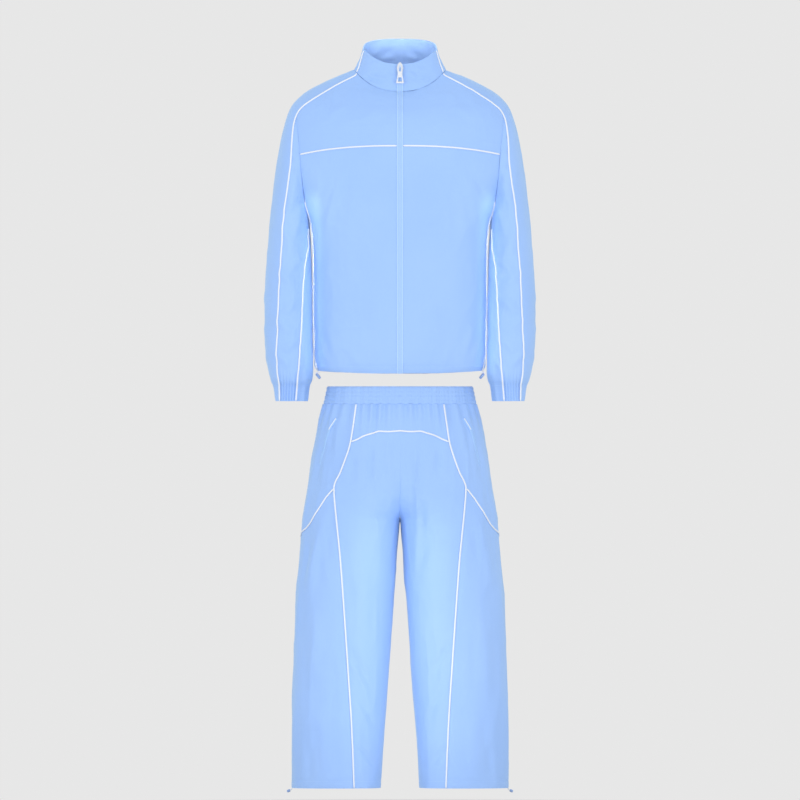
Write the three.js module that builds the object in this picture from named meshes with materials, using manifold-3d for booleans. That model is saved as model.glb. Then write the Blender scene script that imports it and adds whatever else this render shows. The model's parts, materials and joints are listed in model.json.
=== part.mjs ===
// A tracksuit filled out with no wearer: a zipped jacket with a stand collar, placed over loose trousers.
// Millimetres, +Z up. The front faces -Y, and the origin is the middle of the neck at the shoulders' height.
// Every cloth piece is a thin closed wall between two seams, and each seam is a line on a smooth outer form.
import * as THREE from "three";
import { mergeVertices } from "three/addons/utils/BufferGeometryUtils.js";
import loadSolids from "manifold-3d";

// Driving dimensions
const CLOTH = 1.5; // wall of the body cloth
const COLLAR_CLOTH = 2.4; // the collar is two layers
const WAISTBAND_CLOTH = 2.6; // cloth folded over elastic
const TAPE = 1.0; // zip tape
const SEAM_HALF_GAP = 0.2; // each piece stops this far from its seam line
const TURNED_HALF_GAP = 0.7; // more where two strongly turned edges meet
const SLEEVE_STEP = 0.6; // under the arm the sleeve starts this far out from the armhole
const SLEEVE_STEP_END = 100; // degrees up the armhole where that has faded out
const ZIP_HALF = 6.0; // half width of the zip tape
const ZIP_EDGE = 6.3; // the fronts stop here
const COIL_HALF = 2.2; // half width of the zip's coil
const COIL_RISE = 1.3;
const COIL_SLOPE = 0.4; // how much wider the coil is at its foot
const PIPING_HALF = 1.9; // half width of the piping
const PIPING_RISE = 1.7;
const PIPING_TOP = 0.55; // share of its width that its top keeps
const PIPING_LIFT = 0.4; // the piping lies this far above the cloth
const HOLLOW_LIFT = 0.45; // and this much more where the cloth is hollow beside it
const TORSO_SQUARENESS = 2.5; // exponent of the body's level sections
const HIP_SQUARENESS = 2.2; // exponent of the trousers' level sections
const CUFF_GATHER = 1.1; // depth of the cuff's gathers
const WAIST_GATHER = 1.7; // depth of the gathers below the waistband
const BAND_GATHER = 0.8; // depth of the waistband's ribs

// The body of the jacket, ring by ring from the hem to the neck. A ring is highest or lowest at the side.
const BODY_RINGS = table("zSide halfWidth zFront front zBack back", [
  [-687, 190.5, -693.5, 121, -693.5, 124],
  [-674, 196.6, -676, 127, -676, 130],
  [-642, 197.8, -642, 130, -642, 133],
  [-593, 198.8, -593, 132, -593, 135],
  [-531, 199.8, -531, 133, -531, 136],
  [-470, 199.2, -470, 133.5, -470, 137],
  [-400, 200.4, -400, 134, -400, 138],
  [-372, 203.2, -372, 134, -372, 138.5],
  [-345, 207.5, -344, 134, -345, 139],
  [-333, 212.6, -330, 134, -333, 139],
  [-318, 220, -313, 133.8, -318, 139],
  [-297, 232.5, -288, 133, -297, 139],
  [-252, 255, -236, 131.5, -250, 138.5],
  [-200, 270, -171, 126, -190, 135],
  [-155, 268.5, -129, 119.5, -140, 129],
  [-112, 259.5, -101, 111, -98, 119],
  [-83, 250, -85, 102.5, -70, 108],
  [-64, 238, -75, 95.5, -52, 98.5],
  [-46, 216, -66, 89.5, -35, 88.5],
  [-27, 184, -58, 83.5, -20, 78.5],
  [-9, 144, -51, 77, -5, 69.5],
  [5, 106, -45, 70, 8, 62],
]);
const ARMPIT_RING = 8;
const YOKE_RING = 13;
const NECK_RING = 21;

// Seams of the jacket as they stand in the front view, to one side of the centre
const ARMHOLE = table("z x", [
  [-345, 207.5],
  [-337, 209.8],
  [-322, 213.4],
  [-297, 218.6],
  [-250, 225],
  [-193, 230],
  [-150, 234],
  [-104, 238.2],
  [-60, 240.5],
]);
const SHOULDER_PIPING = table("z x", [
  [-757, 275],
  [-722, 276],
  [-690, 281],
  [-645, 283],
  [-593, 281],
  [-492, 277],
  [-386, 270],
  [-299, 263],
  [-272, 259],
  [-206, 250.5],
  [-153, 247.5],
  [-113, 242],
  [-89, 231],
  [-67, 204],
  [-32, 147],
  [-7, 99],
]);
const SIDE_PIPING = table("z x", [
  [-690, 188],
  [-662, 194.5],
  [-642, 196],
  [-593, 196.4],
  [-531, 198],
  [-470, 197.2],
  [-396, 198.2],
  [-356, 202.6],
  [-343, 205.4],
  [-321, 212],
  [-297, 218.6],
]);
const INNER_PIPING = table("z x", [
  [-757, 240],
  [-708, 236],
  [-646, 230.6],
  [-558, 226],
  [-492, 223],
  [-448, 219.5],
  [-400, 212],
]);

// The hanging sleeve below the armhole: level rings from the upper arm to the cuff's end
const ARM_RINGS = table("z inner outer depth forward", [
  [-400, 204.2, 304, 78, 6],
  [-450, 202.4, 307.8, 75, 13],
  [-524, 201.6, 311.7, 71, 21],
  [-600, 200.8, 311.5, 67.5, 27],
  [-650, 200, 309, 65, 30],
  [-685, 199.8, 303.6, 61, 32],
  [-708, 202.5, 298, 56, 33],
  [-718, 206.5, 294, 50, 33.5],
  [-726, 209, 290.8, 45.5, 34],
  [-740, 210.5, 288.9, 43.5, 34],
  [-757, 213, 286, 42, 34],
]);
const CAP_END = -400; // height where the sleeve's cap has become a level ring
const CAP_ROWS = 5;
const ARM_ROW_Z = [-455, -530, -600, -655, -690, -706, -718, -728, -757];
const CUFF_TOP = -718;
const CUFF_FADE = 12; // the gathers reach their full depth this far below it

// The collar's top edge, which dips to the zip and rises at the back
const COLLAR_RIM = { halfWidth: 85, zSide: 51, front: 61, back: 53, zFront: 18, zBack: 78 };
const RIM_CURVE = { front: 2.2, back: 0.55 }; // exponents of its dip and of its rise
const COLLAR_BASE_LIFT = 0.5; // seam gap above the neck
const COLLAR_HOLLOW = 2.5; // its sides are a little hollow between base and rim
const COLLAR_PIPING_TOP = 83; // distance from the centre at the rim

// The trousers, ring by ring. A ring whose inner edge is below zero crosses the centre and is cut there.
const LEG_RINGS = table("z outer inner front back", [
  [-1647, 249.6, 45, 80, 84],
  [-1550, 249.6, 39.1, 83, 87],
  [-1440, 248.4, 31.1, 86, 92],
  [-1329, 243.8, 23, 91, 98],
  [-1219, 240.4, 15, 97, 106],
  [-1164, 235.8, 10.4, 101, 111],
  [-1108, 231.2, 7.6, 106, 117],
  [-1081, 228.9, 5.2, 109, 120],
  [-1053, 226.6, 2.9, 112, 123],
  [-1028, 224.4, 0.4, 114, 126],
  [-1005, 220.7, -19, 116, 129],
  [-970, 215, -62, 118, 132],
  [-915, 207, -125, 118, 132],
  [-860, 197.8, -172, 115, 128],
  [-826, 191.8, -188, 112, 123],
  [-800, 186.2, -186.2, 109, 118],
  [-777, 179.4, -179.4, 106, 113],
  [-763.6, 175.4, -175.4, 103.5, 110],
  [-745, 171.8, -171.8, 101.5, 107],
  [-722.9, 166.8, -166.8, 100, 105],
]);
const WAIST_TOP = -722.9;
const WAIST_SEAM = -763.6;
const CROTCH = -1028;
const TROUSER_HEM = -1647;
const CENTRE_HALF_GAP = 0.2;
const OUTSEAM = -4; // degrees behind the outermost line
const FRONT_YOKE_LINE = table("x z", [
  [0, -825],
  [27, -827],
  [46, -826],
  [62, -830.5],
  [80, -836],
  [98, -845],
  [113, -851],
]);
const PRINCESS_PIPING = table("z x", [
  [-1647, 105.6],
  [-1495, 112],
  [-1366, 120],
  [-1202, 131],
  [-1120, 137],
  [-1013, 147],
  [-957, 151],
  [-919.5, 136],
  [-879.8, 121],
  [-850.5, 113],
  [-813, 106.8],
  [-763.6, 99.4],
]);
const BRANCH_START = -957; // where the side branch leaves the princess line
const SIDE_BRANCH = table("share drop", [
  [0, 0],
  [0.094, 23],
  [0.15, 41],
  [0.224, 60],
  [0.336, 78],
  [0.55, 95],
  [1, 112],
]);
const BRANCH_END = BRANCH_START - SIDE_BRANCH.at(-1).drop;
const BACK_YOKE_SIDE = -799; // height of the back yoke's seam at the side
const BACK_YOKE_DIP = 34; // how much lower it is at the centre
const BACK_YOKE_CURVE = 1.3; // exponent of its dip
const GATHER_END = -838; // the waist's gathers have gone here
const WAISTBAND_ROW_Z = [-722.9, -736, -750, -763.6];

// Columns of wall between neighbouring seams, and rows along them
const COLUMNS = {
  front: 6,
  shoulder: 5,
  bandHalf: 2,
  armholeLow: 4,
  armholeMid: 3,
  armholeHigh: 3,
  waistCentre: 10,
  waistSide: 10,
  waistBack: 20,
};
const ROWS = {
  frontYoke: 3,
  princess: 3,
  leg: 11,
  backYoke: 3,
  upperOutseam: 5,
  frontRise: 7,
  backRise: 9,
  inseam: 7,
};
// Rows stand closer together near the crotch and the knee: exponents of their spacing
const CROWDING = { rise: 1.5, inseam: 1.3, leg: 1.35 };
const SIDE_SEAM_ROWS = [0, 1, 2, 4, 6, 7];
const FLARE_ROWS = 4; // rows of the side seam where it flares to the armhole

// Zip slider and pull tab, in a frame that leans with the collar: x across, z up, out from the collar's face
const SLIDER_OUTLINE = table("x z", [
  [0, 22],
  [4.4, 17],
  [7, 9],
  [5.4, -2],
]);
const SLIDER = { from: COIL_RISE + 0.3, to: 4.4 };
const BAIL = { halfWidth: 1.25, low: 2, high: 14.5, wall: 2, from: 4, to: 9.2, roof: 1.3 };
const PULL_OUTLINE = table("x z", [
  [4.8, 12],
  [4.8, -5],
  [5.6, -12],
  [7.2, -20],
  [8.7, -27.6],
]);
const PULL = { from: 5.45, to: 6.95 };
const PULL_SLOT = { halfWidth: 3.2, high: 9.8, low: -1 };
const PULL_HOLE = { halfWidth: 4, high: -14, low: -23.5 };

// Pocket: a slanted opening with a welt, and the short cord puller at its top
const POCKET_LINE = table("z x", [
  [-902, 186],
  [-865, 175],
  [-821, 161],
  [-796, 147],
]);
const STRIP_TOP = 0.8; // share of its width that a flat strip's top keeps
const WELT = { halfWidth: 3.2, lift: 0.45, rise: 0.9, rows: 6 };
const PULLER = { halfWidth: 1.3, lift: 1.7, rise: 1.8, length: 27, rows: 3 };

// Elastic cords at the hems' sides with a toggle on each: the cord's run, then the toggle's end
const TOGGLE = { radius: 3.2, neck: 2, bevel: 1, sides: 10 };
const CORD = { radius: 0.9, sides: 6, rows: 5, gap: 0.8 };
const JACKET_CORD = table("x y z", [
  [183.5, -44.2, -688.1],
  [188, -43.4, -690.4],
  [192, -40, -691.2],
  [193, -38, -693.4],
]);
const JACKET_TOGGLE_END = { x: 183.5, y: -40, z: -705 };
const TROUSER_CORD = table("x y z", [
  [248.8, -4, -1647.2],
  [249, -4.2, -1649.2],
  [250, -4.6, -1651],
  [252, -5, -1651.9],
]);
const TROUSER_TOGGLE_END = { x: 260, y: -6, z: -1655.4 };

const COLOURS = { cloth: 0xa6ccfd, piping: 0xf1f5fd, metal: 0xe9ecf2, toggle: 0x7fa3d8 };
const FINISHES = {
  cloth: { color: COLOURS.cloth, roughness: 0.62, metalness: 0 },
  piping: { color: COLOURS.piping, roughness: 0.55, metalness: 0 },
  metal: { color: COLOURS.metal, roughness: 0.3, metalness: 0.9 },
  toggle: { color: COLOURS.toggle, roughness: 0.5, metalness: 0 },
};

// Turns rows of numbers into records with named columns.
function table(columns, rows) {
  const names = columns.split(" ");
  return rows.map((row) => Object.fromEntries(names.map((name, i) => [name, row[i]])));
}

// A smooth curve through pairs whose keys rise, with no overshoot between them.
function smoothCurve(keys, values) {
  const last = keys.length - 1;
  const steps = keys.slice(1).map((key, i) => key - keys[i]);
  const slopes = steps.map((step, i) => (values[i + 1] - values[i]) / step);
  const tangents = keys.map((_, i) => {
    if (i === 0) return slopes[0];
    if (i === last) return slopes[last - 1];
    if (slopes[i - 1] * slopes[i] <= 0) return 0;
    const before = 2 * steps[i] + steps[i - 1];
    const after = steps[i] + 2 * steps[i - 1];
    return (before + after) / (before / slopes[i - 1] + after / slopes[i]);
  });
  return (key) => {
    if (key <= keys[0]) return values[0];
    if (key >= keys[last]) return values[last];
    let i = 0;
    while (key > keys[i + 1]) i += 1;
    const t = (key - keys[i]) / steps[i];
    const rest = 1 - t;
    const start = values[i] * (1 + 2 * t) + tangents[i] * steps[i] * t;
    const end = values[i + 1] * (1 + 2 * rest) - tangents[i + 1] * steps[i] * rest;
    return start * rest * rest + end * t * t;
  };
}

// Reads one column of a table as a smooth curve over another column.
function curveOf(rows, key, value) {
  return smoothCurve(
    rows.map((row) => row[key]),
    rows.map((row) => row[value]),
  );
}

// Every column of a table as a curve over the row's number, or over the key column when one is named.
function curvesOf(rows, key) {
  const keys = rows.map((row, i) => (key ? row[key] : i));
  const names = Object.keys(rows[0]);
  return Object.fromEntries(names.map((name) => [name, smoothCurve(keys, rows.map((row) => row[name]))]));
}

// The place between low and high where a rising or falling function is zero.
function findZero(f, low, high) {
  const risesFrom = f(low) < 0;
  let a = low;
  let b = high;
  for (let i = 0; i < 42; i += 1) {
    const middle = (a + b) / 2;
    if (f(middle) < 0 === risesFrom) a = middle;
    else b = middle;
  }
  return (a + b) / 2;
}

function spread(from, to, count) {
  return Array.from({ length: count + 1 }, (_, i) => from + ((to - from) * i) / count);
}

// Joins runs of values that share their end points.
function chain(...runs) {
  return runs.flatMap((run, i) => (i === 0 ? run : run.slice(1)));
}

const mix = THREE.MathUtils.lerp;
const radians = THREE.MathUtils.degToRad;
const degrees = THREE.MathUtils.radToDeg;

function signedPower(value, power) {
  return Math.sign(value) * Math.abs(value) ** power;
}

// The jacket's body: angle is 0 at the front centre, 90 at the side and 180 at the back centre.
const bodyRing = curvesOf(BODY_RINGS);
function body(angle, ring) {
  const across = Math.sin(radians(angle));
  const along = Math.cos(radians(angle));
  const atBack = along < 0;
  const zMiddle = atBack ? bodyRing.zBack(ring) : bodyRing.zFront(ring);
  const depth = atBack ? bodyRing.back(ring) : bodyRing.front(ring);
  return new THREE.Vector3(
    bodyRing.halfWidth(ring) * signedPower(across, 2 / TORSO_SQUARENESS),
    -depth * signedPower(along, 2 / TORSO_SQUARENESS),
    zMiddle + (bodyRing.zSide(ring) - zMiddle) * across * across,
  );
}

const armholeX = curveOf(ARMHOLE, "z", "x");
const shoulderX = curveOf(SHOULDER_PIPING, "z", "x");
const sideX = curveOf(SIDE_PIPING, "z", "x");
const innerX = curveOf(INNER_PIPING, "z", "x");

// The angle at which a ring of the body meets a seam that the front view gives as x over z.
function bodySeamAngle(seamX, ring, atBack, from, to) {
  const miss = (angle) => {
    const point = body(atBack ? 180 - angle : angle, ring);
    return point.x - seamX(point.z);
  };
  const angle = findZero(miss, from, to);
  return atBack ? 180 - angle : angle;
}

// The armhole, as [angle, ring] on the body. turn is 0 at the armpit, 90 at the front and 180 at the top.
const ARMHOLE_REACH = { angle: 70, ring: YOKE_RING - ARMPIT_RING };
function armhole(turn) {
  const place = (reach) => [
    90 - reach * ARMHOLE_REACH.angle * Math.sin(radians(turn)),
    YOKE_RING - reach * ARMHOLE_REACH.ring * Math.cos(radians(turn)),
  ];
  const inside = (reach) => {
    const point = body(...place(reach));
    return point.x - armholeX(point.z);
  };
  return place(findZero(inside, 0, 1.3));
}

// The turn at which the armhole stands at a height, between two turns.
function armholeTurn(z, from, to) {
  return findZero((turn) => body(...armhole(turn)).z - z, from, to);
}

const SIDE_SEAM_TOP = -297;
const SHOULDER_SEAM_TOP = findZero((z) => armholeX(z) - shoulderX(z), -135, -90);
const TURN = {
  frontSide: armholeTurn(SIDE_SEAM_TOP, 5, 89),
  frontShoulder: armholeTurn(SHOULDER_SEAM_TOP, 91, 175),
  backSide: -armholeTurn(SIDE_SEAM_TOP, -5, -89),
  backShoulder: -armholeTurn(SHOULDER_SEAM_TOP, -91, -175),
};

// The sleeve: around is 0 at the inner or lower line, 90 at the front and 180 at the outer line.
// along runs from 0 at the armhole to 1 where the cap ends, and on to 2 at the cuff's end.
const armRing = curvesOf([...ARM_RINGS].reverse(), "z");
function arm(around, z) {
  const middle = (armRing.inner(z) + armRing.outer(z)) / 2;
  const half = (armRing.outer(z) - armRing.inner(z)) / 2;
  return new THREE.Vector3(
    middle - half * Math.cos(radians(around)),
    -armRing.forward(z) - armRing.depth(z) * Math.sin(radians(around)),
    z,
  );
}

const CUFF_END = ARM_ROW_Z.at(-1);
const CAP_PULL = { low: 16, mid: 70, high: 36 }; // how far the cap keeps the armhole's direction
const CAP_REST = { low: 16, mid: 110, high: 205 }; // how far it already hangs straight
const CAP_LEAVING = { sideways: 0.74, turnedOut: 0.12 }; // the direction in which it leaves the armhole
function capReach(pull, around) {
  const height = (1 - Math.cos(radians(around))) / 2;
  return height < 0.5 ? mix(pull.low, pull.mid, height * 2) : mix(pull.mid, pull.high, height * 2 - 1);
}

function sleeve(around, along, step = 0) {
  if (along > 1) return arm(around, mix(CAP_END, CUFF_END, along - 1));
  const height = (1 - Math.cos(radians(around))) / 2;
  const start = body(...armhole(around)).add(new THREE.Vector3(step, 0, 0));
  const end = arm(around, CAP_END);
  const sideways = CAP_LEAVING.sideways * Math.sqrt(height);
  const turnedOut = -CAP_LEAVING.turnedOut * Math.sin(radians(around));
  const down = -Math.sqrt(1 - sideways ** 2 - turnedOut ** 2);
  const leaving = new THREE.Vector3(sideways, turnedOut, down);
  const arriving = arm(around, CAP_END - 1).sub(end).normalize();
  return new THREE.CubicBezierCurve3(
    start,
    start.clone().addScaledVector(leaving, capReach(CAP_PULL, around)),
    end.clone().addScaledVector(arriving, -capReach(CAP_REST, around)),
    end,
  ).getPoint(Math.max(along, 0));
}

const SLEEVE_ROWS = chain(
  spread(0, 1, CAP_ROWS),
  [1, ...ARM_ROW_Z.map((z) => 1 + (z - CAP_END) / (CUFF_END - CAP_END))],
);

// Where the shoulder's seams run round the sleeve, and where its inner seam does.
function sleeveShoulderTurn(along, atBack) {
  const sign = atBack ? -1 : 1;
  const miss = (around) => {
    const point = sleeve(sign * around, along);
    return point.x - shoulderX(point.z);
  };
  return sign * findZero(miss, 60, 179);
}

function sleeveInnerTurn(along) {
  const z = mix(CAP_END, CUFF_END, Math.max(along - 1, 0));
  const middle = (armRing.inner(z) + armRing.outer(z)) / 2;
  const half = (armRing.outer(z) - armRing.inner(z)) / 2;
  const onArm = degrees(Math.acos((middle - innerX(z)) / half));
  return onArm * THREE.MathUtils.smoothstep(along, 0, 1);
}

// The collar stands on the neck ring: up is 0 at its base and 1 at its top edge.
function collar(angle, up) {
  const along = Math.cos(radians(angle));
  const across = Math.sin(radians(angle));
  const base = body(angle, NECK_RING);
  base.z += COLLAR_BASE_LIFT;
  const toBack = along < 0;
  const rise = toBack
    ? (COLLAR_RIM.zBack - COLLAR_RIM.zSide) * Math.abs(along) ** RIM_CURVE.back
    : (COLLAR_RIM.zFront - COLLAR_RIM.zSide) * along ** RIM_CURVE.front;
  const rim = new THREE.Vector3(
    COLLAR_RIM.halfWidth * signedPower(across, 2 / TORSO_SQUARENESS),
    -(toBack ? COLLAR_RIM.back : COLLAR_RIM.front) * signedPower(along, 2 / TORSO_SQUARENESS),
    COLLAR_RIM.zSide + rise,
  );
  const point = base.clone().lerp(rim, up);
  point.x -= COLLAR_HOLLOW * Math.sin(Math.PI * up) * across ** 3;
  return point;
}

// One half of the trousers: around is 0 at the outermost line, 90 at the front and 180 at the inside leg.
const legRing = curvesOf(LEG_RINGS, "z");
function trousers(around, z) {
  const middle = (legRing.outer(z) + legRing.inner(z)) / 2;
  const half = (legRing.outer(z) - legRing.inner(z)) / 2;
  const depth = Math.sin(radians(around)) < 0 ? legRing.back(z) : legRing.front(z);
  return new THREE.Vector3(
    middle + half * signedPower(Math.cos(radians(around)), 2 / HIP_SQUARENESS),
    -depth * signedPower(Math.sin(radians(around)), 2 / HIP_SQUARENESS),
    z,
  );
}

// The turn at which a level ring of the trousers stands at a distance from the centre, on its front half.
function trousersTurn(x, z) {
  const middle = (legRing.outer(z) + legRing.inner(z)) / 2;
  const half = (legRing.outer(z) - legRing.inner(z)) / 2;
  const cosine = THREE.MathUtils.clamp((x - middle) / half, -1, 1);
  return degrees(Math.acos(signedPower(cosine, HIP_SQUARENESS / 2)));
}

const centreTurn = (z, gap) => (z <= CROTCH ? 180 : trousersTurn(gap, z));
const princessX = curveOf(PRINCESS_PIPING, "z", "x");
const princessTurn = (z) => trousersTurn(princessX(z), z);
const yokeLineZ = curveOf(FRONT_YOKE_LINE, "x", "z");
const branchDrop = curveOf(SIDE_BRANCH, "share", "drop");

// The outward direction of a form at a place, from its neighbours.
function normalAt(form, a, b) {
  const stepA = 0.4;
  const stepB = form.stepB;
  const alongA = form.at(a + stepA, b).sub(form.at(a - stepA, b));
  const alongB = form.at(a, Math.min(b + stepB, form.lastB)).sub(form.at(a, Math.max(b - stepB, form.firstB)));
  return alongA.cross(alongB).multiplyScalar(form.turnedOut).normalize();
}

const BODY = { at: body, stepB: 0.05, firstB: 0, lastB: NECK_RING, turnedOut: 1 };
const SLEEVE = { at: sleeve, stepB: 0.004, firstB: 0, lastB: 2, turnedOut: -1 };
const COLLAR = { at: collar, stepB: 0.02, firstB: 0, lastB: 1, turnedOut: 1 };
const TROUSERS = { at: trousers, stepB: 1, firstB: TROUSER_HEM, lastB: WAIST_TOP, turnedOut: -1 };
const SET_IN_SLEEVE = {
  ...SLEEVE,
  at: (around, along) => {
    const share = Math.max(1 - along, 0) * Math.max(1 - Math.abs(around) / SLEEVE_STEP_END, 0);
    return sleeve(around, along, SLEEVE_STEP * share);
  },
};

// A point with its outward direction, raised by relief.
function spot(form, [a, b], relief = 0) {
  const normal = normalAt(form, a, b);
  const point = form.at(a, b).addScaledVector(normal, relief);
  return { point, normal };
}

// Fills the space between four edges of [a, b] places with rows of places, blending the edges.
function fill(bottom, top, left, right) {
  const lastRow = left.length - 1;
  const lastColumn = bottom.length - 1;
  return left.map((leftPlace, i) => {
    const t = i / lastRow;
    return bottom.map((bottomPlace, j) => {
      const s = j / lastColumn;
      return [0, 1].map((k) => {
        const sides = mix(leftPlace[k], right[i][k], s);
        const ends = mix(bottomPlace[k], top[j][k], t);
        const corners = mix(mix(bottom[0][k], bottom[lastColumn][k], s), mix(top[0][k], top[lastColumn][k], s), t);
        return sides + ends - corners;
      });
    });
  });
}

// Places on straight rows from a left edge to a right edge.
function rule(left, right, shares) {
  return left.map((place, i) => shares.map((share) => [0, 1].map((k) => mix(place[k], right[i][k], share))));
}

const evenly = (count) => spread(0, 1, count);
const mirrorSpot = ({ point, normal }) => ({
  point: new THREE.Vector3(-point.x, point.y, point.z),
  normal: new THREE.Vector3(-normal.x, normal.y, normal.z),
});

// A geometry from points and triangles, turned so that its faces point out.
function solid(points, triangles) {
  let volume = 0;
  for (const [a, b, c] of triangles) volume += points[a].dot(points[b].clone().cross(points[c]));
  const faces = volume < 0 ? triangles.map(([a, b, c]) => [a, c, b]) : triangles;
  const geometry = new THREE.BufferGeometry();
  geometry.setAttribute("position", new THREE.Float32BufferAttribute(points.flatMap((p) => [p.x, p.y, p.z]), 3));
  geometry.setIndex(faces.flat());
  geometry.computeVertexNormals();
  return geometry;
}

// A closed wall on rows of spots: an outer face, an inner face and the edges between them.
// A round piece joins its last column to its first. Before the column middle, the faces are cut the other way,
// so that a piece across the centre is the same on both sides.
function wall(spots, thickness, { round = false, gap = SEAM_HALF_GAP, middle = 0 } = {}) {
  const rows = spots.length;
  const columns = spots[0].length;
  const towards = (from, to) => to.clone().sub(from).normalize().multiplyScalar(gap);
  const outer = spots.map((row, i) =>
    row.map(({ point }, j) => {
      const moved = point.clone();
      if (i === 0) moved.add(towards(point, spots[1][j].point));
      if (i === rows - 1) moved.add(towards(point, spots[rows - 2][j].point));
      if (!round && j === 0) moved.add(towards(point, row[1].point));
      if (!round && j === columns - 1) moved.add(towards(point, row[columns - 2].point));
      return moved;
    }),
  );
  const inner = outer.map((row, i) =>
    row.map((point, j) => point.clone().addScaledVector(spots[i][j].normal, -thickness)),
  );
  const points = [...outer.flat(), ...inner.flat()];
  const face = (layer, i, j) => layer * rows * columns + i * columns + (j % columns);
  const triangles = [];
  const quad = (a, b, c, d) => triangles.push([a, b, c], [a, c, d]);
  const spans = round ? columns : columns - 1;
  for (let i = 0; i < rows - 1; i += 1) {
    for (let j = 0; j < spans; j += 1) {
      const outside = [face(0, i, j), face(0, i, j + 1), face(0, i + 1, j + 1), face(0, i + 1, j)];
      const inside = [face(1, i + 1, j + 1), face(1, i, j + 1), face(1, i, j), face(1, i + 1, j)];
      if (j < middle) {
        outside.push(outside.shift());
        inside.push(inside.shift());
      }
      quad(...outside);
      quad(...inside);
    }
  }
  for (let j = 0; j < spans; j += 1) {
    quad(face(0, 0, j + 1), face(0, 0, j), face(1, 0, j), face(1, 0, j + 1));
    quad(face(0, rows - 1, j), face(0, rows - 1, j + 1), face(1, rows - 1, j + 1), face(1, rows - 1, j));
  }
  for (let i = 0; i < rows - 1 && !round; i += 1) {
    quad(face(0, i, 0), face(0, i + 1, 0), face(1, i + 1, 0), face(1, i, 0));
    quad(face(0, i, spans), face(1, i, spans), face(1, i + 1, spans), face(0, i + 1, spans));
  }
  return solid(points, triangles);
}

// A strip along a line of spots. Its section is a list of [across, out] points in order round it.
function strip(spots, section) {
  const points = [];
  const last = spots.length - 1;
  spots.forEach(({ point, normal }, i) => {
    const before = spots[Math.max(i - 1, 0)].point;
    const after = spots[Math.min(i + 1, last)].point;
    const across = after.clone().sub(before).cross(normal).normalize();
    for (const [side, out] of section) {
      points.push(point.clone().addScaledVector(across, side).addScaledVector(normal, out));
    }
  });
  const count = section.length;
  const triangles = [];
  for (let i = 0; i < last; i += 1) {
    for (let k = 0; k < count; k += 1) {
      const next = (k + 1) % count;
      const a = i * count;
      const b = a + count;
      triangles.push([a + k, a + next, b + next], [a + k, b + next, b + k]);
    }
  }
  for (let k = 1; k < count - 1; k += 1) {
    triangles.push([0, k + 1, k], [last * count, last * count + k, last * count + k + 1]);
  }
  return solid(points, triangles);
}

const PIPING_SECTION = [
  [-PIPING_HALF, PIPING_LIFT],
  [PIPING_HALF, PIPING_LIFT],
  [PIPING_HALF * PIPING_TOP, PIPING_LIFT + PIPING_RISE],
  [-PIPING_HALF * PIPING_TOP, PIPING_LIFT + PIPING_RISE],
];

// Shortens a line of spots at its ends, so that a piping stops short of what it runs up to.
function trimmed(spots, startGap, endGap) {
  const cut = (end, next, gap) => {
    const length = end.point.distanceTo(next.point);
    const share = Math.min(gap / length, 0.9);
    return { point: end.point.clone().lerp(next.point, share), normal: end.normal };
  };
  const last = spots.length - 1;
  const result = [...spots];
  if (startGap) result[0] = cut(spots[0], spots[1], startGap);
  if (endGap) result[last] = cut(spots[last], spots[last - 1], endGap);
  return result;
}

const tracksuit = new THREE.Group();

function addPiece(name, geometry, finish) {
  const mesh = new THREE.Mesh(geometry, new THREE.MeshStandardMaterial(FINISHES[finish]));
  mesh.name = name;
  tracksuit.add(mesh);
}

// The wearer's left is +X. A pair is one piece built there and its mirror image.
function addPair(name, spots, build, finish) {
  addPiece(name + "_l", build(spots), finish);
  const mirrored = Array.isArray(spots[0]) ? spots.map((row) => row.map(mirrorSpot)) : spots.map(mirrorSpot);
  addPiece(name + "_r", build(mirrored), finish);
}

const clothWall = (spots) => wall(spots, CLOTH);
const pipe = (spots) => strip(spots, PIPING_SECTION);
const spotsOn = (form, places, relief) =>
  places.map((row, i) => row.map((place, j) => spot(form, place, relief ? relief(i, j) : 0)));
const lineOn = (form, places, relief) => places.map((place, i) => spot(form, place, relief ? relief(i) : 0));

// A wall across the centre, from its half listed from the centre outwards.
function wholeWall(half, thickness, gap) {
  const whole = half.map((row) => [...row.slice(1).reverse().map(mirrorSpot), ...row]);
  return wall(whole, thickness, { middle: half[0].length - 1, gap });
}

// Jacket body
const zipAngle = (ring) => degrees(Math.asin((ZIP_EDGE / bodyRing.halfWidth(ring)) ** (TORSO_SQUARENESS / 2)));
const zipPlace = (ring) => [zipAngle(ring), ring];

// The side seam from the hem to the armhole, at the front or at the back.
function sideSeam(atBack) {
  const top = armhole(atBack ? -TURN.backSide : TURN.frontSide);
  const rings = chain(SIDE_SEAM_ROWS, spread(SIDE_SEAM_ROWS.at(-1), top[1], FLARE_ROWS).slice(0, -1));
  return [...rings.map((ring) => [bodySeamAngle(sideX, ring, atBack, 45, 89.6), ring]), top];
}

const frontSideSeam = sideSeam(false);
const backSideSeam = sideSeam(true);
const FRONT_SHARES = evenly(COLUMNS.front);
const armholeRun = (from, to, count) => spread(from, to, count).map(armhole);

// The shoulder seam from the neck to the armhole, at the front or at the back.
function shoulderSeam(atBack) {
  const end = armhole(atBack ? -TURN.backShoulder : TURN.frontShoulder);
  const rings = spread(NECK_RING, end[1], COLUMNS.shoulder).slice(0, -1);
  return [...rings.map((ring) => [bodySeamAngle(shoulderX, ring, atBack, 25, 89), ring]), end];
}

const frontShoulderSeam = shoulderSeam(false);
const backShoulderSeam = shoulderSeam(true);
const neckRun = (from, to, count) => spread(from, to, count).map((angle) => [angle, NECK_RING]);

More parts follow.
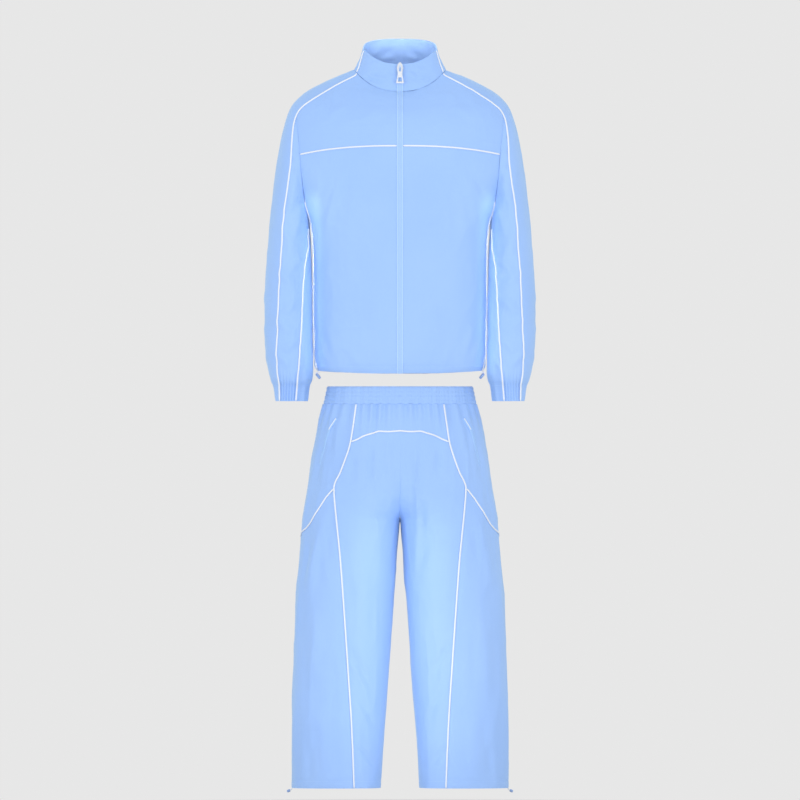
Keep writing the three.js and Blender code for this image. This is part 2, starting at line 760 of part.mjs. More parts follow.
const toZip = (edge) => rule(edge.map(([, ring]) => zipPlace(ring)), edge, FRONT_SHARES);
const toBackCentre = (edge) => rule(edge.map(([, ring]) => [180, ring]), edge, FRONT_SHARES);
const lowerEdge = (seam, turn, quarter) => chain(seam, armholeRun(turn, quarter, COLUMNS.armholeMid));
const upperEdge = (quarter, turn, seam) =>
  chain(armholeRun(quarter, turn, COLUMNS.armholeHigh), [...seam].reverse());

const frontLower = toZip(lowerEdge(frontSideSeam, TURN.frontSide, 90));
addPair("jacket_front", spotsOn(BODY, frontLower), clothWall, "cloth");
const frontYoke = toZip(upperEdge(90, TURN.frontShoulder, frontShoulderSeam));
addPair("jacket_front_yoke", spotsOn(BODY, frontYoke), clothWall, "cloth");

const armholeBottom = chain(
  armholeRun(TURN.frontSide, 0, COLUMNS.armholeLow),
  armholeRun(0, -TURN.backSide, COLUMNS.armholeLow),
);
const sideHem = spread(frontSideSeam[0][0], backSideSeam[0][0], armholeBottom.length - 1).map((angle) => [angle, 0]);
const sidePanel = fill(sideHem, armholeBottom, frontSideSeam, backSideSeam);
addPair("jacket_side", spotsOn(BODY, sidePanel), (spots) => wall(spots, CLOTH, { gap: TURNED_HALF_GAP }), "cloth");

const back = chain(
  toBackCentre(lowerEdge(backSideSeam, -TURN.backSide, -90)),
  toBackCentre(upperEdge(-90, -TURN.backShoulder, backShoulderSeam)),
);
addPiece("jacket_back", wholeWall(spotsOn(BODY, back), CLOTH, TURNED_HALF_GAP), "cloth");

// Collar
const collarPipingAngle = (up) => {
  const base = frontShoulderSeam[0][0];
  const rim = degrees(Math.asin((COLLAR_PIPING_TOP / COLLAR_RIM.halfWidth) ** (TORSO_SQUARENESS / 2)));
  return mix(base, rim, up);
};
const COLLAR_ROWS = [0, 0.33, 0.67, 1];
const collarZipAngle = (up) => {
  const halfWidth = mix(bodyRing.halfWidth(NECK_RING), COLLAR_RIM.halfWidth, up);
  return degrees(Math.asin((ZIP_EDGE / halfWidth) ** (TORSO_SQUARENESS / 2)));
};
const collarWall = (spots) => wall(spots, COLLAR_CLOTH);
const collarFront = rule(
  COLLAR_ROWS.map((up) => [collarZipAngle(up), up]),
  COLLAR_ROWS.map((up) => [collarPipingAngle(up), up]),
  FRONT_SHARES,
);
addPair("collar_front", spotsOn(COLLAR, collarFront), collarWall, "cloth");

const backNeckAngles = chain(
  spread(180, backShoulderSeam[0][0], COLUMNS.front),
  spread(backShoulderSeam[0][0], frontShoulderSeam[0][0], 2 * COLUMNS.bandHalf),
);
const collarBackShares = backNeckAngles.map((angle) => (180 - angle) / (180 - backNeckAngles.at(-1)));
const collarBack = rule(
  COLLAR_ROWS.map((up) => [180, up]),
  COLLAR_ROWS.map((up) => [collarPipingAngle(up), up]),
  collarBackShares,
);
addPiece("collar_back", wholeWall(spotsOn(COLLAR, collarBack), COLLAR_CLOTH), "cloth");

// Sleeves
const bandTop = chain(
  armholeRun(TURN.frontShoulder, 180, COLUMNS.bandHalf),
  armholeRun(-180, -TURN.backShoulder, COLUMNS.bandHalf),
);
const bandNeck = neckRun(frontShoulderSeam[0][0], backShoulderSeam[0][0], 2 * COLUMNS.bandHalf);
const bandOnBody = fill(bandNeck, bandTop, frontShoulderSeam, backShoulderSeam);
const bandOnSleeve = SLEEVE_ROWS.map((along) => {
  const front = sleeveShoulderTurn(along, false);
  const back = 360 + sleeveShoulderTurn(along, true);
  return chain(spread(front, 180, COLUMNS.bandHalf), spread(180, back, COLUMNS.bandHalf)).map((turn) => [turn, along]);
});
// Where the two forms meet, the band takes the direction between theirs.
const bandBodySpots = spotsOn(BODY, bandOnBody);
const cuffRelief = (row, column) => {
  const z = mix(CAP_END, CUFF_END, Math.max(SLEEVE_ROWS[row] - 1, 0));
  const depth = CUFF_GATHER * THREE.MathUtils.smoothstep(-z, -CUFF_TOP, -CUFF_TOP + CUFF_FADE);
  return column % 2 === 0 ? depth : -depth;
};
const bandSleeveSpots = spotsOn(SLEEVE, bandOnSleeve, cuffRelief);
bandSleeveSpots[0].forEach((shared, j) => shared.normal.add(bandBodySpots.at(-1)[j].normal).normalize());
addPair("sleeve_band", [...bandBodySpots.slice(0, -1), ...bandSleeveSpots], clothWall, "cloth");

const sleeveShares = (low, high) => {
  const turns = chain(
    spread(0, low, COLUMNS.armholeLow),
    spread(low, 90, COLUMNS.armholeMid),
    spread(90, high, COLUMNS.armholeHigh),
  );
  return turns.map((turn) => turn / high);
};
const sleeveEdge = (turnAt) => SLEEVE_ROWS.map((along) => [turnAt(along), along]);
const sleeveFront = rule(
  sleeveEdge(sleeveInnerTurn),
  sleeveEdge((along) => sleeveShoulderTurn(along, false)),
  sleeveShares(TURN.frontSide, TURN.frontShoulder),
);
const sleeveUnder = rule(
  sleeveEdge(sleeveInnerTurn),
  sleeveEdge((along) => sleeveShoulderTurn(along, true)),
  sleeveShares(TURN.backSide, TURN.backShoulder),
);
const sleeveWall = (spots) => wall(spots, CLOTH, { gap: TURNED_HALF_GAP });
const setInSpots = (places, shared) => {
  const spots = spotsOn(SET_IN_SLEEVE, places, cuffRelief);
  spots[0].at(-1).normal.copy(shared.normal);
  return spots;
};
addPair("sleeve_front", setInSpots(sleeveFront, bandSleeveSpots[0][0]), sleeveWall, "cloth");
addPair("sleeve_under", setInSpots(sleeveUnder, bandSleeveSpots[0].at(-1)), sleeveWall, "cloth");

// Piping of the jacket
const FREE_END = 0.8; // a piping stops this far from an edge or from another piping
const CROSSING = 3.2; // and this far from a piping that it runs into
const SLANTED_CROSSING = 4.4; // farther where the two meet at a slant
const ridge = (row) => cuffRelief(row, 0);
const hollow = () => HOLLOW_LIFT;
const shoulderOnBody = lineOn(BODY, frontShoulderSeam.slice(0, -1), hollow);
const shoulderOnSleeve = lineOn(
  SLEEVE,
  sleeveEdge((along) => sleeveShoulderTurn(along, false)),
  (row) => ridge(row) + HOLLOW_LIFT,
);
addPair("piping_shoulder", trimmed([...shoulderOnBody, ...shoulderOnSleeve], CROSSING, FREE_END), pipe, "piping");
const sidePiping = lineOn(BODY, frontSideSeam.slice(0, -2), hollow);
addPair("piping_side", trimmed(sidePiping, FREE_END, 0), pipe, "piping");
const innerRows = SLEEVE_ROWS.filter((along) => along >= 0.5);
const innerPiping = innerRows.map((along) => spot(
  SLEEVE,
  [sleeveInnerTurn(along), along],
  cuffRelief(SLEEVE_ROWS.indexOf(along), 0),
));
addPair("piping_inner_sleeve", trimmed(innerPiping, 0, FREE_END), pipe, "piping");
addPair("piping_yoke", trimmed(lineOn(BODY, frontLower.at(-1)), FREE_END, CROSSING), pipe, "piping");
const collarPiping = COLLAR_ROWS.map((up) => [collarPipingAngle(up), up]);
addPair("piping_collar", trimmed(lineOn(COLLAR, collarPiping), CROSSING, FREE_END), pipe, "piping");

// Zip
const ZIP_ROWS = [...SIDE_SEAM_ROWS, 11, ...spread(YOKE_RING, NECK_RING, 2 * COLUMNS.armholeHigh)];
const zipLine = chain(
  ZIP_ROWS.map((ring) => spot(BODY, [0, ring])),
  COLLAR_ROWS.map((up) => spot(COLLAR, [0, up])),
);
const ZIP_SECTION = [
  [-ZIP_HALF, -TAPE],
  [ZIP_HALF, -TAPE],
  [ZIP_HALF, 0],
  [COIL_HALF + COIL_SLOPE, 0],
  [COIL_HALF, COIL_RISE],
  [-COIL_HALF, COIL_RISE],
  [-COIL_HALF - COIL_SLOPE, 0],
  [-ZIP_HALF, 0],
];
addPiece("zip_tape", strip(zipLine, ZIP_SECTION), "cloth");

// Trousers, on the wearer's left: the centre line, the seams and the outer line, from the waist down
const ease = (from, to, count, power) => evenly(count).map((t) => mix(from, to, 1 - (1 - t) ** power));
const inseamZ = ease(TROUSER_HEM, CROTCH, ROWS.inseam, CROWDING.inseam).reverse();
const outseam = (z) => [OUTSEAM, z];
const princess = (z) => [princessTurn(z), z];
const frontCentre = (z) => [centreTurn(z, CENTRE_HALF_GAP), z];
const backCentre = (z) => [-centreTurn(z, CENTRE_HALF_GAP), z];
const foldCentre = (z) => [centreTurn(z, 0), z];
const foldBackCentre = (z) => [-centreTurn(z, 0), z];
const levelRun = (from, to, count) => evenly(count).map((t) => [mix(from[0], to[0], t), mix(from[1], to[1], t)]);

const waistFront = levelRun(foldCentre(WAIST_SEAM), princess(WAIST_SEAM), COLUMNS.waistCentre);
const waistSide = levelRun(princess(WAIST_SEAM), outseam(WAIST_SEAM), COLUMNS.waistSide);
const waistBack = levelRun(foldBackCentre(WAIST_SEAM), outseam(WAIST_SEAM), COLUMNS.waistBack);

// The gathers stand out at every second column and fade down the cloth.
const gatherAt = (z, column) => {
  const depth = WAIST_GATHER * THREE.MathUtils.smoothstep(z, GATHER_END, WAIST_SEAM);
  return column % 2 === 0 ? depth : -depth;
};
const gathered = (places) => spotsOn(TROUSERS, places, (i, j) => gatherAt(places[i][j][1], j));
const gatheredLine = (places) => places.map((place) => spot(TROUSERS, place, gatherAt(place[1], 0)));

// The waistband closes on itself, so its columns run all round.
const waistRound = (z) => {
  const columns = [...waistFront.slice(0, -1), ...waistSide].map(([turn]) => turn);
  const backColumns = waistBack.map(([turn]) => turn).reverse().slice(1, -1);
  const share = princessTurn(z) / princessTurn(WAIST_SEAM);
  const left = [...columns, ...backColumns, -90].map((turn, j) => {
    const moved = turn > 0 && turn < 90 ? turn * (j < COLUMNS.waistCentre ? 1 : share) : turn;
    return spot(TROUSERS, [moved, z], j % 2 === 0 ? BAND_GATHER : -BAND_GATHER);
  });
  return [...left, ...left.slice(1, -1).reverse().map(mirrorSpot)];
};
addPiece("waistband", wall(WAISTBAND_ROW_Z.map(waistRound), WAISTBAND_CLOTH, { round: true }), "cloth");

const yokeSideZ = spread(WAIST_SEAM, FRONT_YOKE_LINE.at(-1).z, ROWS.frontYoke);
const yokeLine = spread(0, FRONT_YOKE_LINE.at(-1).x, COLUMNS.waistCentre).map((x) => {
  const z = yokeLineZ(x);
  return [trousersTurn(x, z), z];
});
const trouserYoke = fill(
  waistFront,
  yokeLine,
  spread(WAIST_SEAM, FRONT_YOKE_LINE[0].z, ROWS.frontYoke).map(foldCentre),
  yokeSideZ.map(princess),
);
addPiece("trouser_front_yoke", wholeWall(gathered(trouserYoke), CLOTH), "cloth");

const princessZ = spread(FRONT_YOKE_LINE.at(-1).z, BRANCH_START, ROWS.princess);
const legZ = ease(TROUSER_HEM, BRANCH_START, ROWS.leg, CROWDING.leg).reverse();
const hemRun = (from, to, count) => levelRun(from(TROUSER_HEM), to(TROUSER_HEM), count);
const frontRiseZ = ease(FRONT_YOKE_LINE[0].z, CROTCH, ROWS.frontRise, CROWDING.rise);
const centreFront = fill(
  [frontCentre(FRONT_YOKE_LINE[0].z), ...yokeLine.slice(1)],
  hemRun(frontCentre, princess, COLUMNS.waistCentre),
  chain(frontRiseZ, inseamZ).map(frontCentre),
  chain(princessZ, legZ).map(princess),
);
addPair("trouser_centre_front", gathered(centreFront), clothWall, "cloth");

const branch = evenly(COLUMNS.waistSide).map((share) => [
  mix(princessTurn(BRANCH_START), OUTSEAM, share),
  BRANCH_START - branchDrop(share),
]);
const upperOutseamZ = spread(BACK_YOKE_SIDE, BRANCH_END, ROWS.upperOutseam);
const pocketSide = fill(
  waistSide,
  branch,
  chain(yokeSideZ, princessZ).map(princess),
  [WAIST_SEAM, ...upperOutseamZ].map(outseam),
);
addPair("trouser_pocket_side", gathered(pocketSide), clothWall, "cloth");

const lowerOutseamZ = spread(BRANCH_END, TROUSER_HEM, ROWS.leg);
const outerLeg = fill(
  branch,
  hemRun(princess, outseam, COLUMNS.waistSide),
  legZ.map(princess),
  lowerOutseamZ.map(outseam),
);
addPair("trouser_outer_leg", spotsOn(TROUSERS, outerLeg), clothWall, "cloth");

const backYokeZ = (share) => BACK_YOKE_SIDE - BACK_YOKE_DIP * (1 - share) ** BACK_YOKE_CURVE;
const backYokeLine = evenly(COLUMNS.waistBack).map((share) => [
  mix(foldBackCentre(backYokeZ(0))[0], OUTSEAM, share),
  backYokeZ(share),
]);
const backYoke = fill(
  waistBack,
  backYokeLine,
  spread(WAIST_SEAM, backYokeZ(0), ROWS.backYoke).map(foldBackCentre),
  spread(WAIST_SEAM, BACK_YOKE_SIDE, ROWS.backYoke).map(outseam),
);
addPiece("trouser_back_yoke", wholeWall(gathered(backYoke), CLOTH), "cloth");

const backTop = backYokeLine.filter((place, j) => j % 2 === 0);
const backLeg = fill(
  [backCentre(backYokeZ(0)), ...backTop.slice(1)],
  hemRun(backCentre, outseam, backTop.length - 1),
  chain(ease(backYokeZ(0), CROTCH, ROWS.backRise, CROWDING.rise), inseamZ).map(backCentre),
  chain(upperOutseamZ, lowerOutseamZ).map(outseam),
);
addPair("trouser_back", spotsOn(TROUSERS, backLeg), clothWall, "cloth");

// Piping of the trousers
const princessLine = gatheredLine(chain(yokeSideZ, princessZ, legZ).map(princess));
addPair("piping_princess", trimmed(princessLine, FREE_END, FREE_END), pipe, "piping");
addPair("piping_branch", trimmed(lineOn(TROUSERS, branch), SLANTED_CROSSING, FREE_END), pipe, "piping");
const yokePiping = yokeLine.map((place, j) => spot(TROUSERS, place, gatherAt(place[1], j)));
const wholeLine = (half) => [...half.slice(1).reverse().map(mirrorSpot), ...half];
addPiece("piping_trouser_yoke", pipe(trimmed(wholeLine(yokePiping), CROSSING, CROSSING)), "piping");
const backYokePiping = backYokeLine.map((place, j) => spot(TROUSERS, place, gatherAt(place[1], j)));
addPiece("piping_back_yoke", pipe(wholeLine(backYokePiping)), "piping");

// Pockets
const flatSection = ({ halfWidth, lift, rise }) => [
  [-halfWidth, lift],
  [halfWidth, lift],
  [halfWidth * STRIP_TOP, lift + rise],
  [-halfWidth * STRIP_TOP, lift + rise],
];
const pocketX = curveOf(POCKET_LINE, "z", "x");
const POCKET_TOP = POCKET_LINE.at(-1).z;
const pocketLine = (from, to, rows) =>
  spread(from, to, rows).map((z) => spot(TROUSERS, [trousersTurn(pocketX(z), z), z], gatherAt(z, 0)));
const weltLine = pocketLine(POCKET_LINE[0].z, POCKET_TOP, WELT.rows);
addPair("pocket_welt", weltLine, (spots) => strip(spots, flatSection(WELT)), "cloth");
const pullerLine = pocketLine(POCKET_TOP - PULLER.length, POCKET_TOP, PULLER.rows);
addPair("pocket_puller", pullerLine, (spots) => strip(spots, flatSection(PULLER)), "piping");

// Zip slider with its bail, and the pull tab in it, on the collar's front
const collarFoot = collar(0, 0);
const collarTop = collar(0, 1);
const collarLean = Math.atan2(collarTop.y - collarFoot.y, collarTop.z - collarFoot.z);
const headCentre = collarFoot.lerp(collarTop, -collarFoot.z / (collarTop.z - collarFoot.z));
const headFrame = new THREE.Matrix4().makeRotationX(-collarLean).setPosition(headCentre);

function outline(corners) {
  return corners.map(([a, b]) => new THREE.Vector2(a, b));
}

// A plate in the plane of the collar's front, from a half outline, between two distances out from it.
function plate(rows, from, to, holes = []) {
  const right = rows.map(({ x, z }) => [x, z]);
  const left = rows.filter(({ x }) => x > 0).reverse().map(({ x, z }) => [-x, z]);
  const shape = new THREE.Shape(outline([...right, ...left]));
  for (const { halfWidth, high, low } of holes) {
    const corners = [[-halfWidth, low], [halfWidth, low], [halfWidth, high], [-halfWidth, high]];
    shape.holes.push(new THREE.Path(outline(corners)));
  }
  const geometry = new THREE.ExtrudeGeometry(shape, { depth: to - from, bevelEnabled: false });
  return geometry.rotateX(Math.PI / 2).translate(0, -from, 0);
}

// The arch that holds the pull tab, from its profile of [out, z] points.
function arch({ halfWidth, low, high, wall: post, from, to, roof }) {
  const profile = outline([
    [from, low],
    [to, low + roof],
    [to, high - roof],
    [from, high],
    [from, high - post],
    [to - roof, high - post],
    [to - roof, low + post],
    [from, low + post],
  ]);
  const geometry = new THREE.ExtrudeGeometry(new THREE.Shape(profile), { depth: 2 * halfWidth, bevelEnabled: false });
  return geometry.rotateX(Math.PI / 2).rotateZ(-Math.PI / 2).translate(halfWidth, 0, 0);
}

const solids = await loadSolids();
solids.setup();

function toSolid(geometry) {
  geometry.deleteAttribute("uv");
  geometry.deleteAttribute("normal");
  const joined = mergeVertices(geometry, 1e-4);
  const triVerts = new Uint32Array(joined.index.array);
  return new solids.Manifold(new solids.Mesh({ numProp: 3, vertProperties: joined.attributes.position.array, triVerts }));
}

function union(first, second) {
  const mesh = toSolid(first).add(toSolid(second)).getMesh();
  const geometry = new THREE.BufferGeometry();
  geometry.setAttribute("position", new THREE.Float32BufferAttribute(mesh.vertProperties, 3));
  geometry.setIndex([...mesh.triVerts]);
  return geometry;
}

const sliderBody = plate(SLIDER_OUTLINE, SLIDER.from, SLIDER.to);
addPiece("zip_slider", union(sliderBody, arch(BAIL)).applyMatrix4(headFrame), "metal");
const pullTab = plate(PULL_OUTLINE, PULL.from, PULL.to, [PULL_SLOT, PULL_HOLE]);
addPiece("zip_pull", pullTab.applyMatrix4(headFrame), "metal");

// Hem cords and toggles
const FRONT = new THREE.Vector3(0, -1, 0);
const cordSection = spread(0, 2 * Math.PI, CORD.sides)
  .slice(1)
  .map((angle) => [CORD.radius * Math.cos(angle), CORD.radius * Math.sin(angle)]);
function addCordAndToggle(cordName, toggleName, run, end) {
  const path = new THREE.CatmullRomCurve3(run.map(({ x, y, z }) => new THREE.Vector3(x, y, z)));
  addPair(cordName, path.getPoints(CORD.rows).map((point) => ({ point, normal: FRONT })), (spots) =>
    strip(spots, cordSection), "piping");
  const cordEnd = path.getPoint(1);
  const axis = new THREE.Vector3(end.x, end.y, end.z).sub(cordEnd);
  const length = axis.length();
  axis.normalize();
  const profile = outline([
    [0, CORD.gap],
    [TOGGLE.neck, CORD.gap],
    [TOGGLE.radius, CORD.gap + TOGGLE.bevel],
    [TOGGLE.radius, length - TOGGLE.bevel],
    [TOGGLE.neck, length],
    [0, length],
  ]);
  const turned = (direction, start) => {
    const turn = new THREE.Quaternion().setFromUnitVectors(new THREE.Vector3(0, 1, 0), direction);
    return new THREE.LatheGeometry(profile, TOGGLE.sides).applyQuaternion(turn).translate(...start);
  };
  for (const [side, sign] of [["_l", 1], ["_r", -1]]) {
    const direction = new THREE.Vector3(sign * axis.x, axis.y, axis.z);
    addPiece(toggleName + side, turned(direction, [sign * cordEnd.x, cordEnd.y, cordEnd.z]), "toggle");
  }
}
addCordAndToggle("hem_loop", "hem_toggle", JACKET_CORD, JACKET_TOGGLE_END);
addCordAndToggle("leg_loop", "leg_toggle", TROUSER_CORD, TROUSER_TOGGLE_END);

export default tracksuit;
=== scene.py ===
"""A tracksuit filled out with no wearer: jacket, trousers, zip, piping, cords and stitching.

Forms and seams repeat part.mjs in millimetres. Each mesh is scaled to metres when it is made.
"""
import json
import math

import bpy
import numpy as np
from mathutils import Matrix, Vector

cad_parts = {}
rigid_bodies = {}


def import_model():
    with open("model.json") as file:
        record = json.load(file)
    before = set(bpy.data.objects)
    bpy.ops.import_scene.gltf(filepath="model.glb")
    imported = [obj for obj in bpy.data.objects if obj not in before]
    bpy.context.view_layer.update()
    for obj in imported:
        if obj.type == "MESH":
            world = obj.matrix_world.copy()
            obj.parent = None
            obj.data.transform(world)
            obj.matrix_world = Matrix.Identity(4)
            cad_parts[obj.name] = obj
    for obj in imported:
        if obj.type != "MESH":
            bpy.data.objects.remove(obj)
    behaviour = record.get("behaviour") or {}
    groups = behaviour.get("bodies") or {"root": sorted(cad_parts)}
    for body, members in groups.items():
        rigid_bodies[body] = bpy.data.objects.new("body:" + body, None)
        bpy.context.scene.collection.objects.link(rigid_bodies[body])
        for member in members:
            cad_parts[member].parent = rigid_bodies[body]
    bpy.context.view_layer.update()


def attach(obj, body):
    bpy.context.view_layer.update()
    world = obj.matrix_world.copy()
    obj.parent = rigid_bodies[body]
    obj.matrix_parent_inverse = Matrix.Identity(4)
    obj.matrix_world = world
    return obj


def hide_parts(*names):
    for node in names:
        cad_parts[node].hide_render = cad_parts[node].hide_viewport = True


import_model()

SCALE = 0.001
CLOTH = 1.2  # thickness of a panel, and of the doubled collar and waistband below
COLLAR_CLOTH = 2.4
WAISTBAND_CLOTH = 2.4
ZIP_HALF = 6.0  # half the width of the zip's tape, and where the fronts start beside it
ZIP_EDGE = 6.3
TORSO_SQUARENESS = 2.5
HIP_SQUARENESS = 2.2
CUFF_GATHER = 1.3
WAIST_GATHER = 2.6
BAND_GATHER = 0.6
SIDES = (("_l", False), ("_r", True))  # the end of a piece's name, and whether it is mirrored


def table(columns, rows):
    """Named columns of numbers from rows."""
    values = np.array(rows, float)
    return {name: values[:, i] for i, name in enumerate(columns.split())}


BODY_RINGS = table("zSide halfWidth zFront front zBack back", [
    (-687, 190.5, -693.5, 121, -693.5, 124), (-674, 196.6, -676, 127, -676, 130),
    (-642, 197.8, -642, 130, -642, 133), (-593, 198.8, -593, 132, -593, 135),
    (-531, 199.8, -531, 133, -531, 136), (-470, 199.2, -470, 133.5, -470, 137),
    (-400, 200.4, -400, 134, -400, 138), (-372, 203.2, -372, 134, -372, 138.5),
    (-345, 207.5, -344, 134, -345, 139), (-333, 212.6, -330, 134, -333, 139),
    (-318, 220, -313, 133.8, -318, 139), (-297, 232.5, -288, 133, -297, 139),
    (-252, 255, -236, 131.5, -250, 138.5), (-200, 270, -171, 126, -190, 135),
    (-155, 268.5, -129, 119.5, -140, 129), (-112, 259.5, -101, 111, -98, 119),
    (-83, 250, -85, 102.5, -70, 108), (-64, 238, -75, 95.5, -52, 98.5),
    (-46, 216, -66, 89.5, -35, 88.5), (-27, 184, -58, 83.5, -20, 78.5), (-9, 144, -51, 77, -5, 69.5),
    (5, 106, -45, 70, 8, 62),
])
ARMHOLE = table("z x", [
    (-345, 207.5), (-337, 209.8), (-322, 213.4), (-297, 218.6), (-250, 225), (-193, 230), (-150, 234),
    (-104, 238.2), (-60, 240.5),
])
SHOULDER_PIPING = table("z x", [
    (-757, 275), (-722, 276), (-690, 281), (-645, 283), (-593, 281), (-492, 277), (-386, 270),
    (-299, 263), (-272, 259), (-206, 250.5), (-153, 247.5), (-113, 242), (-89, 231), (-67, 204),
    (-32, 147), (-7, 99),
])
SIDE_PIPING = table("z x", [
    (-690, 188), (-662, 194.5), (-642, 196), (-593, 196.4), (-531, 198), (-470, 197.2), (-396, 198.2),
    (-356, 202.6), (-343, 205.4), (-321, 212), (-297, 218.6),
])
INNER_PIPING = table("z x", [
    (-757, 240), (-708, 236), (-646, 230.6), (-558, 226), (-492, 223), (-448, 219.5), (-400, 212),
])
ARM_RINGS = table("z inner outer depth forward", [
    (-400, 204.2, 304, 78, 6), (-450, 202.4, 307.8, 75, 13), (-524, 201.6, 311.7, 71, 21),
    (-600, 200.8, 311.5, 67.5, 27), (-650, 200, 309, 65, 30), (-685, 199.8, 303.6, 61, 32),
    (-708, 202.5, 298, 56, 33), (-718, 206.5, 294, 50, 33.5), (-726, 209, 290.8, 45.5, 34),
    (-740, 210.5, 288.9, 43.5, 34), (-757, 213, 286, 42, 34),
])
LEG_RINGS = table("z outer inner front back", [
    (-1647, 249.6, 45, 80, 84), (-1550, 249.6, 39.1, 83, 87), (-1440, 248.4, 31.1, 86, 92),
    (-1329, 243.8, 23, 91, 98), (-1219, 240.4, 15, 97, 106), (-1164, 235.8, 10.4, 101, 111),
    (-1108, 231.2, 7.6, 106, 117), (-1081, 228.9, 5.2, 109, 120), (-1053, 226.6, 2.9, 112, 123),
    (-1028, 224.4, 0.4, 114, 126), (-1005, 220.7, -19, 116, 129), (-970, 215, -62, 118, 132),
    (-915, 207, -125, 118, 132), (-860, 197.8, -172, 115, 128), (-826, 191.8, -188, 112, 123),
    (-800, 186.2, -186.2, 109, 118), (-777, 179.4, -179.4, 106, 113),
    (-763.6, 175.4, -175.4, 103.5, 110), (-745, 171.8, -171.8, 101.5, 107),
    (-722.9, 166.8, -166.8, 100, 105),
])
FRONT_YOKE_LINE = table("x z", [
    (0, -825), (27, -827), (46, -826), (62, -830.5), (80, -836), (98, -845), (113, -851),
])
PRINCESS_PIPING = table("z x", [
    (-1647, 105.6), (-1495, 112), (-1366, 120), (-1202, 131), (-1120, 137), (-1013, 147), (-957, 151),
    (-919.5, 136), (-879.8, 121), (-850.5, 113), (-813, 106.8), (-763.6, 99.4),
])
SIDE_BRANCH = table("share drop", [
    (0, 0), (0.094, 23), (0.15, 41), (0.224, 60), (0.336, 78), (0.55, 95), (1, 112),
])
SLIDER_OUTLINE = table("x z", [
    (0, 22), (4.4, 17), (7, 9), (5.4, -2),
])
PULL_OUTLINE = table("x z", [
    (4.8, 12), (4.8, -5), (5.6, -12), (7.2, -20), (8.7, -27.6),
])
POCKET_LINE = table("z x", [
    (-902, 186), (-865, 175), (-821, 161), (-796, 147),
])
JACKET_CORD = table("x y z", [
    (183.5, -44.2, -688.1), (188, -43.4, -690.4), (192, -40, -691.2), (193, -38, -693.4),
])
TROUSER_CORD = table("x y z", [
    (248.8, -4, -1647.2), (249, -4.2, -1649.2), (250, -4.6, -1651), (252, -5, -1651.9),
])

ARMPIT_RING = 8
YOKE_RING = 13
NECK_RING = 21
CAP_END = -400
CUFF_TOP = -718
CUFF_END = -757
COLLAR_RIM = {"halfWidth": 85, "zSide": 51, "front": 61, "back": 53, "zFront": 18, "zBack": 78}
COLLAR_BASE_LIFT = 0.5
COLLAR_HOLLOW = 2.5
COLLAR_PIPING_TOP = 83
WAIST_TOP = -722.9
WAIST_SEAM = -763.6
CROTCH = -1028
TROUSER_HEM = -1647
OUTSEAM = -4
BRANCH_START = -957
BACK_YOKE_SIDE = -799
BACK_YOKE_DIP = 34
GATHER_END = -838
SIDE_SEAM_TOP = -297
ARMHOLE_FAN = 70  # degrees over which the rays that find the armhole spread
ARMHOLE_FARTHEST = 1.3
ARMHOLE_SAMPLES = 1441
SLEEVE_SAMPLES = 401
CAP_LEAN = 0.74  # how far the cap leaves the armhole sideways at its top
CAP_TURN = -0.12
CAP_HANDLES = (16, 70, 36)  # reach of the cap's curve out of the armhole, at its foot, middle and top
ARM_HANDLES = (16, 110, 205)  # the same into the hanging sleeve
COLLAR_BACK_CURVE = 0.55
COLLAR_FRONT_CURVE = 2.2


# Curves and forms
def smooth_curve(keys, values):
    """A smooth curve through pairs whose keys rise, with no overshoot between them."""
    keys = np.array(keys, float)
    values = np.array(values, float)
    steps = np.diff(keys)
    slopes = np.diff(values) / steps
    tangents = np.concatenate([slopes[:1], np.zeros(len(keys) - 2), slopes[-1:]])
    for i in range(1, len(keys) - 1):
        if slopes[i - 1] * slopes[i] > 0:
            before = 2 * steps[i] + steps[i - 1]
            after = steps[i] + 2 * steps[i - 1]
            tangents[i] = (before + after) / (before / slopes[i - 1] + after / slopes[i])

    def at(key):
        key = np.clip(np.asarray(key, float), keys[0], keys[-1])
        i = np.clip(np.searchsorted(keys, key, side="right") - 1, 0, len(steps) - 1)
        t = (key - keys[i]) / steps[i]
        rest = 1 - t
        start = values[i] * (1 + 2 * t) + tangents[i] * steps[i] * t
        end = values[i + 1] * (1 + 2 * rest) - tangents[i + 1] * steps[i] * rest
        return start * rest * rest + end * t * t

    return at


def curves_of(rows, key=None):
    """A smooth curve for each column over the key column, or over the rows' numbers."""
    keys = rows[key] if key else np.arange(len(next(iter(rows.values()))))
    order = np.argsort(keys)
    return {name: smooth_curve(keys[order], column[order]) for name, column in rows.items()}


def find_zero(f, low, high):
    """The place between low and high where a rising or falling function is zero."""
    low, high = (np.array(x, float) for x in np.broadcast_arrays(low, high))
    rises = f(low) < 0
    for _ in range(40):
        middle = (low + high) / 2
        below = (f(middle) < 0) == rises
        low = np.where(below, middle, low)
        high = np.where(below, high, middle)
    return (low + high) / 2


def mix(a, b, t):
    return a + (b - a) * t


def smoothstep(x, low, high):
    t = np.clip((x - low) / (high - low), 0, 1)
    return t * t * (3 - 2 * t)


def signed_power(value, power):
    return np.sign(value) * np.abs(value) ** power


def stack(*columns):
    return np.stack(np.broadcast_arrays(*columns), -1)


def unit(v):
    return v / np.maximum(np.linalg.norm(v, axis=-1, keepdims=True), 1e-9)


